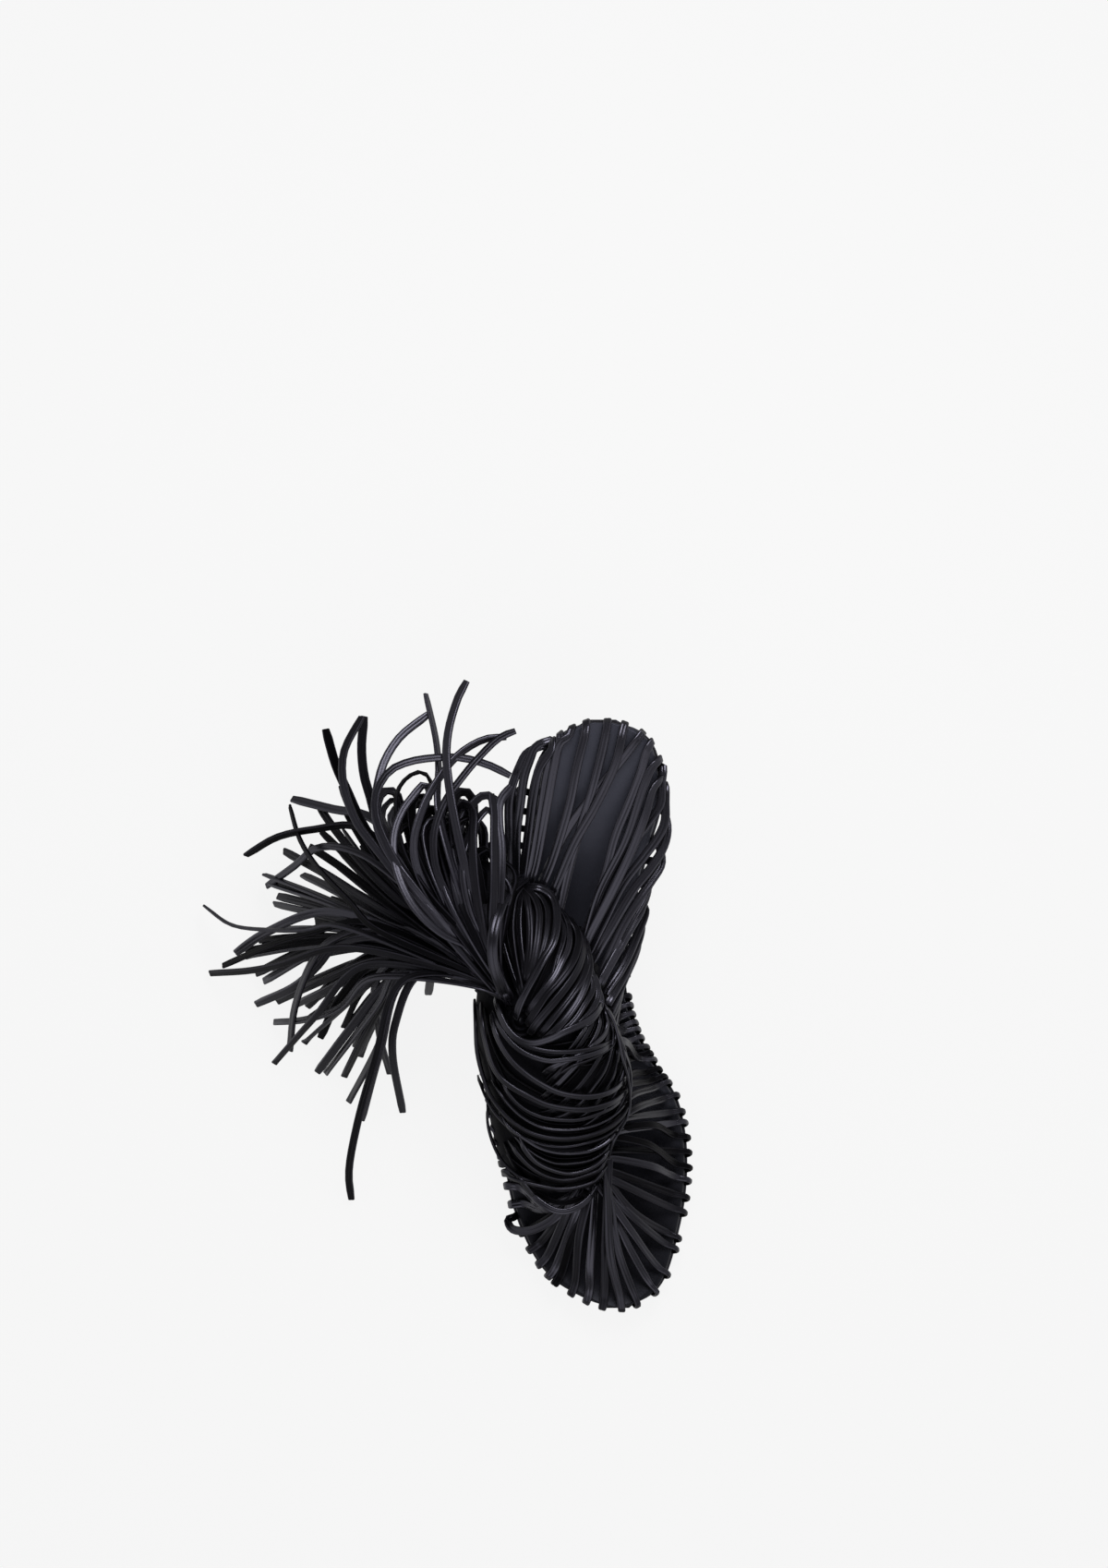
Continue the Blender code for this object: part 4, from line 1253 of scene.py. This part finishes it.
class MULE_OT_footbed(bpy.types.Operator):
    """Make the padded footbed, crowned at its edge and dished along its middle"""

    bl_idname = "mule.footbed"
    bl_label = "Footbed"

    def execute(self, context):
        finish = context.scene.mule_finish
        look = grained(
            "footbed_leather", finish.footbed_dark, finish.footbed_light, 0.42, 1300.0, 0.5, 0.1, 0.05
        )
        tree = look.node_tree
        shader = shader_of(look)
        # Painted shade: towards the toe the colour mixes to a darker one and the gloss drops, for the shade
        # under the knot.
        apart = node(tree, "ShaderNodeSeparateXYZ")
        tree.links.new(node(tree, "ShaderNodeTexCoord").outputs["Object"], apart.inputs[0])
        from_toe = apart.outputs["Y"]
        body = shader.inputs["Base Color"].links[0].from_socket
        toe_shaded = mix_colour(tree, map_range(tree, from_toe, 0.0, TOE_SHADE_FROM_Y), TOE_SHADE_COLOUR, body)
        tree.links.new(toe_shaded, shader.inputs["Base Color"])
        gloss = map_range(tree, from_toe, 0.0, TOE_SHADE_FROM_Y, 0.14, 0.32)
        tree.links.new(gloss, shader.inputs["Specular IOR Level"])
        rings = []
        for y, outer, inner in sole_stations(context.scene.mule_sizes.sole_sections):
            top = float(insole_top(y))
            low = top - PAD
            width = inner - outer
            edge = min(PAD_TOP_X, width / 3)
            left = np.vstack([
                arc((outer + PAD_FOOT_X, low), (outer, low), (outer, low + PAD_FOOT_Z), 4),
                arc((outer, low + PAD_SIDE_Z), (outer, top), (outer + edge, top + PAD_RISE), 8),
            ])
            right = left[::-1] * (-1, 1) + (outer + inner, 0)
            dish = DISH * min(1.0, width / CORE_FULL_WIDTH)
            share = np.linspace(0, 1, PAD_POINTS)[1:-1]
            x = left[-1, 0] + share * (right[0, 0] - left[-1, 0])
            inward = np.sin(math.pi * share)
            soft = PAD_WAVE * np.sin(y / 9.0 + x / 7.0) * inward
            crown = np.column_stack([x, top + PAD_RISE - dish * inward**0.8 + soft])
            depth = ramp(width, CORE_FROM_WIDTH, CORE_FULL_WIDTH) * (SLOT - GAP)
            under = low - depth - CORE_LEAST
            inset = min(REBATE, width / 3)
            core = [
                (inner - inset, low),
                (inner - inset, under),
                (outer + inset, under),
                (outer + inset, low),
            ]
            rings.append(set_at(y, [left, crown, right, core]))
        piece = loft("footbed", rings, look, PAD_SMOOTH_ANGLE)
        set_down(piece, "footbed_leather", "insole")
        return {"FINISHED"}


def cage_rows(edge, slot, along, out, plan, end, arch, bulge, lift):
    """Guide points and flat direction of a strip, from the slot round the edge and over the foot to the knot.

    The second value says that it first runs beside the edge.
    """
    top = float(insole_top(edge[1]))
    rows = []
    turns = ((slot, -TUCK, 0.0), (slot, LIP, 0.0), ((slot + edge) / 2, bulge, (PAD + SLOT) / 2))
    for place, away, level in turns:
        x, y = place + out * away
        rows.append((x, y, float(insole_top(y)) - PAD - SLOT / 2 + level))
    first = plan[0] if len(plan) else end[:2]
    outside = (first - edge) @ out > OUTSIDE
    if not outside:
        rows.append((*(edge + out * EDGE_BULGE * bulge), top + EDGE_LIFT))
        inward = unit(unit(first - edge) - out)
        rows.append((*(edge + inward * OVER_EDGE), top + OVER_PAD + lift))
    start = np.array(rows[-1])
    if len(plan):
        points = np.vstack([start[:2], *plan, end[:2]])
        shares = run_length(points)
        shares = shares / shares[-1]
    else:
        shares = np.array((0, 0.35, 0.7, 1))
        points = start[:2] + shares[:, None] * (end[:2] - start[:2])
    for point, share in zip(points[1:-1], shares[1:-1]):
        z = start[2] + share * (end[2] - start[2]) + arch * math.sin(math.pi * share) + lift
        if not outside:
            z = max(z, float(insole_top(point[1])) + OVER_PAD + lift)
        rows.append((*point, z))
    rows.append(tuple(end))
    rows = np.array(rows)
    slope = float(insole_top(edge[1] + 1) - insole_top(edge[1] - 1)) / 2
    at_edge = unit(np.array((*along, slope * along[1])))
    heading = unit(rows[-1, :2] - rows[3, :2])
    level = np.array((-heading[1], heading[0], 0.0))
    level *= np.sign(level @ at_edge) or 1.0
    held = len(rows) - len(shares)
    share = np.concatenate([np.zeros(held), (0.2,), 0.2 + 0.8 * shares[1:]])[:, None]
    return np.column_stack([rows, at_edge * (1 - share) + level * share]), outside and len(plan) > 0


class MULE_OT_cage(bpy.types.Operator):
    """Make the strips of the cage, from the slot round the edge to the knot"""

    bl_idname = "mule.cage"
    bl_label = "Cage"

    def execute(self, context):
        finish = context.scene.mule_finish
        sizes = context.scene.mule_sizes
        look = folded("strip_leather", finish.strip_dark, finish.strip_light, 0.3)
        chance = np.random.default_rng(sizes.seed)
        ring, along, out = outline_ring(EDGE_POINTS)
        strips = Bundle(sizes)

        def lay(rows, beside, count, pulled, tone):
            fine = curve(rows, count, crowd=1.4)
            path = fine[:, :3]
            across = level_across(path) if beside else fine[:, 3:]
            up = np.cross(np.gradient(path, axis=0), across)
            across = across * np.where(up[-4, 2] < 0, -1.0, 1.0)
            run = run_length(path)
            sway = math.radians(SWAY) * np.sin(np.linspace(0, 5, count) + chance.uniform(0, 6))
            rolled = math.radians(chance.uniform(-TWIST, TWIST)) * (run / run[-1]) ** 2
            cord = pulled * np.interp(run, PULL_RUN, PULL)
            narrow = NARROW - NARROWER_PULLED * pulled
            width = np.interp(run, NARROW_RUN, (narrow, narrow, 0.5 * narrow + 0.5))
            strips.add(path, across, sway + rolled, tone, width, cord)

        step = np.linalg.norm(ring[1] - ring[0])
        for group, arch, flatter, tones in (
            (HEEL_STRIPS, HEEL_ARCH, HEEL_FLATTER, HEEL_LIT_TONES),
            (FORE_STRIPS, CAGE_ARCH, FORE_FLATTER, FORE_TONES),
        ):
            for number, route in enumerate(group):
                plan = np.array(route, float)
                ground = float(insole_top(plan[0, 1]))
                begin = seen_at(plan[0, 0], plan[0, 1], ground)[:2]
                at = np.argmin(((ring - begin) ** 2).sum(axis=1))
                last = seen_at(*plan[-1], BACK_Z if plan[-1, 1] > BACK_FROM_Y else FRONT_Z)[:2]
                end = into_knot(last, unit(plan[-1] - plan[-2]))
                heights = np.linspace(ground + OVER_GROUND, end[2], len(plan))
                path = seen_at(plan[:, 0], plan[:, 1], heights)[1:, :2]
                away = out[at]
                inner = np.clip(away[0] / SIDE_FULL, 0, 1) if group is FORE_STRIPS else 0.0
                flat = np.clip(END_GAIN * abs(away[1]), 0, 1)
                if group is HEEL_STRIPS and (path[0] - ring[at]) @ away < OUTSIDE:
                    away = unit(away + HEEL_LEAN * unit(ring[at] - path[0]))
                bulge = np.clip((begin - ring[at]) @ out[at], LEAST_BULGE, WIDEST_BULGE)
                bulge = float(bulge * (1 - flatter * flat))
                slot = ring[(at + round(SLANT * inner / step)) % len(ring)]
                lift = LAYER * (number % 3)
                rows, beside = cage_rows(ring[at], slot, along[at], away, path, end, arch, bulge, lift)
                pulled = PULLED + PULLED_MORE_INSIDE * inner
                lay(rows, beside, sizes.strip_points + 6, pulled, chance.uniform(*tones))

        reach = np.array(OUTER_WAIST)
        x, y = ring.T
        outer = np.flatnonzero((x < WAIST_X) & (y < WAIST_FROM_Y) & (y > WAIST_TO_Y))
        for number in np.linspace(0, len(outer) - 1, WAIST_STRIPS).astype(int):
            at = outer[number]
            edge = ring[at]
            y, degrees = (np.interp(-edge[1], -reach[:, 0], column) for column in reach.T[1:])
            end = knot_point(y, degrees, 1.0)
            bulge = float(np.interp(edge[1], WAIST_BULGE_Y, (BULGE, WAIST_BULGE)))
            rows, beside = cage_rows(edge, edge, along[at], out[at], (), end, WAIST_ARCH, bulge, 0.0)
            lay(rows, beside, sizes.strip_points, WAIST_PULL, chance.uniform(*WAIST_TONES))

        piece = strips.build("cage", look)
        set_down(piece, "strip_leather", "upper")
        return {"FINISHED"}


class MULE_OT_knot(bpy.types.Operator):
    """Make the coiled knot: a hollow wall with strips wound over it"""

    bl_idname = "mule.knot"
    bl_label = "Knot"

    def execute(self, context):
        sizes = context.scene.mule_sizes
        # Painted shade: the wall is nearly black and almost without gloss, for the shade between the strips
        # of the knot.
        wall_look = grained("knot_wall_shade", WALL_SHADE_DARK, WALL_SHADE_LIGHT, 0.7, 1500.0, 0.5, 0.15)
        shader_of(wall_look).inputs["Specular IOR Level"].default_value = 0.1
        bpy.ops.object.select_all(action="DESELECT")
        bpy.ops.mesh.primitive_grid_add(x_subdivisions=48, y_subdivisions=64, size=2.0, location=(0, 0, 0))
        wall = named("knot_wall")
        for vertex in wall.data.vertices:
            y = KNOT[-1][0] + (KNOT[0][0] - KNOT[-1][0]) * (vertex.co.y + 1) / 2
            vertex.co = knot_point(y, 90 + 90 * vertex.co.x, WALL_DEPTH) * MM

        def in_hole(face):
            centre = face.calc_center_median() / MM
            return math.hypot(centre.x - HOLE_X, centre.y - HOLE_Y) < HOLE_RADIUS

        edit_faces(wall, in_hole)
        bpy.ops.mesh.delete(type="FACE")
        bpy.ops.object.mode_set(mode="OBJECT")
        only(wall)
        thick = wall.modifiers.new("Wall", "SOLIDIFY")
        thick.thickness = WALL_THICKNESS * MM
        thick.offset = -1.0
        bpy.ops.object.modifier_apply(modifier="Wall")
        wall.data.materials.append(wall_look)
        smooth(wall, SMOOTH_ANGLE)
        set_down(wall, "strip_leather", "upper")

        look = bpy.data.objects["cage"].active_material
        chance = np.random.default_rng(sizes.seed + 1)
        strips = Bundle(sizes)

        def wind(plan, lift, roll, tone, width):
            path, normal = on_knot(plan, lift)
            across = np.cross(normal, np.gradient(path, axis=0))
            strips.add(path, across, roll, tone, width)

        count = sizes.strip_points + 14
        ends = np.linspace(0, 1, count)
        dive = DIVE_IN * ramp(ends, DIVE_IN_TO, 0) ** 2 + DIVE_OUT * ramp(ends, DIVE_OUT_FROM, 1) ** 2
        for rows, turn in FAMILIES:
            guides = [row[2] for row in rows]
            # The under-layer takes the darkest tones: painted shade deep in the knot.
            for number in range(len(rows) - 1):
                plan = between(guides, number + chance.uniform(*UNDER_PLACE), count)
                low = chance.uniform(*UNDER_LIFT) - UNDER_DIVE * dive
                roll = math.radians(chance.uniform(-UNDER_ROLL, UNDER_ROLL))
                wind(plan, low, roll, chance.uniform(*UNDER_SHADE_TONES), UNDER_WIDTH)
            for width, lift, points in rows:
                roll = math.radians(turn + chance.uniform(-OVER_ROLL, OVER_ROLL))
                roll = roll * np.sin(np.pi * (0.1 + 0.8 * ends))
                plan = curve(points, count, columns=2)
                wind(plan, lift - dive, roll, chance.uniform(*OVER_TONES), OVER_WIDTH * width)
        band = seen_at(*curve(BAND, count).T)
        strips.add(band, level_across(band), 0.1, 0.7, 1.1)
        piece = strips.build("knot", look)
        set_down(piece, "strip_leather", "upper")
        return {"FINISHED"}


class MULE_OT_fringe(bpy.types.Operator):
    """Make the fringe: the free ends of the strips, out of the knot and down to the floor"""

    bl_idname = "mule.fringe"
    bl_label = "Fringe"

    def execute(self, context):
        finish = context.scene.mule_finish
        sizes = context.scene.mule_sizes
        look = folded("fringe_leather", finish.fringe_dark, finish.fringe_light, 0.36)
        chance = np.random.default_rng(sizes.seed + 2)
        root = np.array(ROOT)
        strands = Bundle(sizes)
        count = sizes.strip_points + 8
        share = np.linspace(0, 1, count)

        def hang(plan, arch, tip, ranges, curl=0.0):
            """A strand over these plan points, root first."""
            lower, up, tone, narrow = (chance.uniform(*ends) for ends in ranges)
            tip = tip * lower
            fine = curve(plan, count, columns=2)
            drop = FRINGE_ROOT_Z + up + (tip - FRINGE_ROOT_Z - up) * share**2
            sink = ROOT_SINK * (1 - ramp(share, 0, ROOT_SINK_TO)) ** 2
            z = drop + arch * np.sin(np.pi * share) ** 1.4 - sink - curl * ramp(share, CURL_FROM, 1) ** 2
            path = seen_at(fine[:, 0], fine[:, 1], np.clip(z, FLOOR_CLEAR, HIGHEST))
            roll = chance.uniform(-ROLL, ROLL) + chance.uniform(-TIP_ROLL, TIP_ROLL) * share
            roll += chance.uniform(-ROOT_ROLL, ROOT_ROLL) * (1 - ramp(share, 0, ROOT_ROLL_TO))
            roll *= np.clip((path[:, 2] - FLOOR_CLEAR) / ROLL_FREE_Z, LEAST_ROLL, 1)
            width = narrow * np.interp(share, WIDTH_AT, WIDTHS)
            strands.add(path, level_across(path), roll, tone, width)

        guides = [row[0] for row in FAN]
        falls = np.array([row[1:] for row in FAN])
        low_rows = np.arange(FAN_LOW_FROM, len(FAN) - 1 + 0.01, FAN_LOW_STEP)
        for row in (*np.arange(0, FAN_LOW_FROM, FAN_STEP), *low_rows):
            plan = between(guides, row, GUIDE_POINTS)
            curls = row < CURL_ROWS
            plan = plan[: GUIDE_POINTS - int(chance.integers(0, 4)) - 2 * curls]
            stray = chance.uniform(-1, 1, 2) * TIP_STRAY
            plan = plan + np.linspace(0, 1, len(plan))[:, None] ** 2 * stray
            if curls:
                size = chance.uniform(*CURL_SIZE) * np.array((-1.0 if row < 2 else 1.0, 1.0))
                plan = np.vstack([plan, plan[-1] + size * np.array(CURL)])
            start = root + chance.uniform(-ROOT_STRAY, ROOT_STRAY, 2)
            arch, tip = (np.interp(row, np.arange(len(FAN)), column) for column in falls.T)
            hang(np.vstack([start, plan]), arch, tip, FAN_RANGES, CURL_DROP * curls)
        bearings, *falls = np.array(FALL).T
        for route in LONG_STRANDS:
            start = root + chance.uniform(-ROOT_STRAY, ROOT_STRAY, 2)
            neck = np.array(NECK) + chance.uniform(-NECK_STRAY, NECK_STRAY, 2)
            plan = np.vstack([start, neck, route[::-1]])
            away = plan[-1] - root
            degrees = math.degrees(math.atan2(-away[0], away[1]))
            arch, tip = (np.interp(degrees, bearings, column) for column in falls)
            hang(plan, arch, tip, LONG_RANGES)
        turn = np.linspace(0, COIL_TURNS * 2 * math.pi, COIL_POINTS)
        radius = np.linspace(HOLE_RADIUS + 1.2, COIL_INNER, COIL_POINTS)
        outwards = np.column_stack([np.cos(turn), np.sin(turn), 0 * turn])
        coil = radius[:, None] * outwards + (HOLE_X, HOLE_Y, 0)
        coil[:, 2] = np.linspace(*COIL_Z, COIL_POINTS)
        # Tone 0: the darkest strip with the least gloss, painted shade in the hole.
        strands.add(coil, -outwards, 0.0, 0.0)
        piece = strands.build("fringe_strands", look)
        set_down(piece, "fringe_leather", "fringe")
        return {"FINISHED"}


class MULE_OT_stage(bpy.types.Operator):
    """Make the pale floor, the soft light and the camera straight above"""

    bl_idname = "mule.stage"
    bl_label = "Stage"

    def execute(self, context):
        stage = context.scene.mule_stage
        bpy.ops.object.select_all(action="DESELECT")
        bpy.ops.mesh.primitive_plane_add(size=12.0, location=(0, 0, 0))
        floor = bpy.context.object
        floor.name = "floor"
        material, _, shader = new_look("pale_floor")
        shader.inputs["Base Color"].default_value = (*stage.floor_colour, 1.0)
        shader.inputs["Roughness"].default_value = 0.9
        shader.inputs["Specular IOR Level"].default_value = 0.1
        shader.inputs["Emission Color"].default_value = WHITE
        shader.inputs["Emission Strength"].default_value = stage.glow
        floor.data.materials.append(material)
        floor.visible_glossy = False

        world = bpy.data.worlds.new("studio")
        world.use_nodes = True
        tree = world.node_tree
        sky = tree.nodes["Background"]
        heading = node(tree, "ShaderNodeTexCoord").outputs["Generated"]
        mirrored = node(tree, "ShaderNodeVectorMath", operation="ABSOLUTE")
        tree.links.new(heading, mirrored.inputs[0])
        parts = node(tree, "ShaderNodeSeparateXYZ")
        tree.links.new(heading, parts.inputs["Vector"])
        light = map_range(
            tree, parts.outputs["Z"], 0.0, 0.6, stage.low, stage.surround, interpolation_type="SMOOTHSTEP"
        )
        for vector, from_where, power in (
            (heading, FILL_FROM, stage.fill),
            (mirrored.outputs["Vector"], SIDES_FROM, stage.sides),
        ):
            towards = node(tree, "ShaderNodeVectorMath", operation="DOT_PRODUCT")
            tree.links.new(vector, towards.inputs[0])
            towards.inputs[1].default_value = from_where
            patch = map_range(
                tree, towards.outputs["Value"], PATCH_FROM, PATCH_FULL, 0.0, power,
                interpolation_type="SMOOTHSTEP",
            )
            light = math_node(tree, "ADD", light, patch)
        tree.links.new(light, sky.inputs["Strength"])
        sky.inputs["Color"].default_value = WHITE
        context.scene.world = world

        place = Vector(KEY_AT)
        bpy.ops.object.light_add(type="AREA", location=place)
        key = bpy.context.object
        key.name = "key_light"
        key.data.energy = stage.key
        key.data.shape = "SQUARE"
        key.data.size = stage.key_size
        key.rotation_euler = (Vector(KEY_TO) - place).to_track_quat("-Z", "Y").to_euler()

        above = (CAMERA_X * MM, CAMERA_Y * MM, CAMERA_Z * MM)
        bpy.ops.object.camera_add(location=above, rotation=(0, 0, 0))
        camera = bpy.context.object
        camera.name = "camera_above"
        camera.data.lens = LENS
        camera.data.sensor_width = 36.0
        camera.data.sensor_fit = "AUTO"
        camera.data.clip_end = 20.0
        context.scene.camera = camera
        context.scene.view_settings.view_transform = "Standard"
        return {"FINISHED"}


class MULE_PT_panel(bpy.types.Panel):
    """Sizes, finishes and stage of the mule sandal"""

    bl_idname = "MULE_PT_panel"
    bl_label = "Mule sandal"
    bl_space_type = "VIEW_3D"
    bl_region_type = "UI"
    bl_category = "Mule"

    def draw(self, context):
        for group in (context.scene.mule_sizes, context.scene.mule_finish, context.scene.mule_stage):
            box = self.layout.box()
            for key in group.bl_rna.properties.keys():
                if key not in {"rna_type", "name"}:
                    box.prop(group, key)
        for operator in OPERATORS:
            self.layout.operator(operator.bl_idname)


GROUPS = (MuleSizes, MuleFinish, MuleStage)
OPERATORS = (
    MULE_OT_sole,
    MULE_OT_heel,
    MULE_OT_footbed,
    MULE_OT_cage,
    MULE_OT_knot,
    MULE_OT_fringe,
    MULE_OT_stage,
)


def register():
    for kind in (*GROUPS, *OPERATORS, MULE_PT_panel):
        bpy.utils.register_class(kind)
    bpy.types.Scene.mule_sizes = PointerProperty(type=MuleSizes)
    bpy.types.Scene.mule_finish = PointerProperty(type=MuleFinish)
    bpy.types.Scene.mule_stage = PointerProperty(type=MuleStage)


def unregister():
    del bpy.types.Scene.mule_stage
    del bpy.types.Scene.mule_finish
    del bpy.types.Scene.mule_sizes
    for kind in (MULE_PT_panel, *reversed(OPERATORS), *reversed(GROUPS)):
        bpy.utils.unregister_class(kind)


def main():
    register()
    bpy.ops.mule.sole()
    bpy.ops.mule.heel()
    bpy.ops.mule.footbed()
    bpy.ops.mule.cage()
    bpy.ops.mule.knot()
    bpy.ops.mule.fringe()
    bpy.ops.mule.stage()


if __name__ == "__main__":
    main()
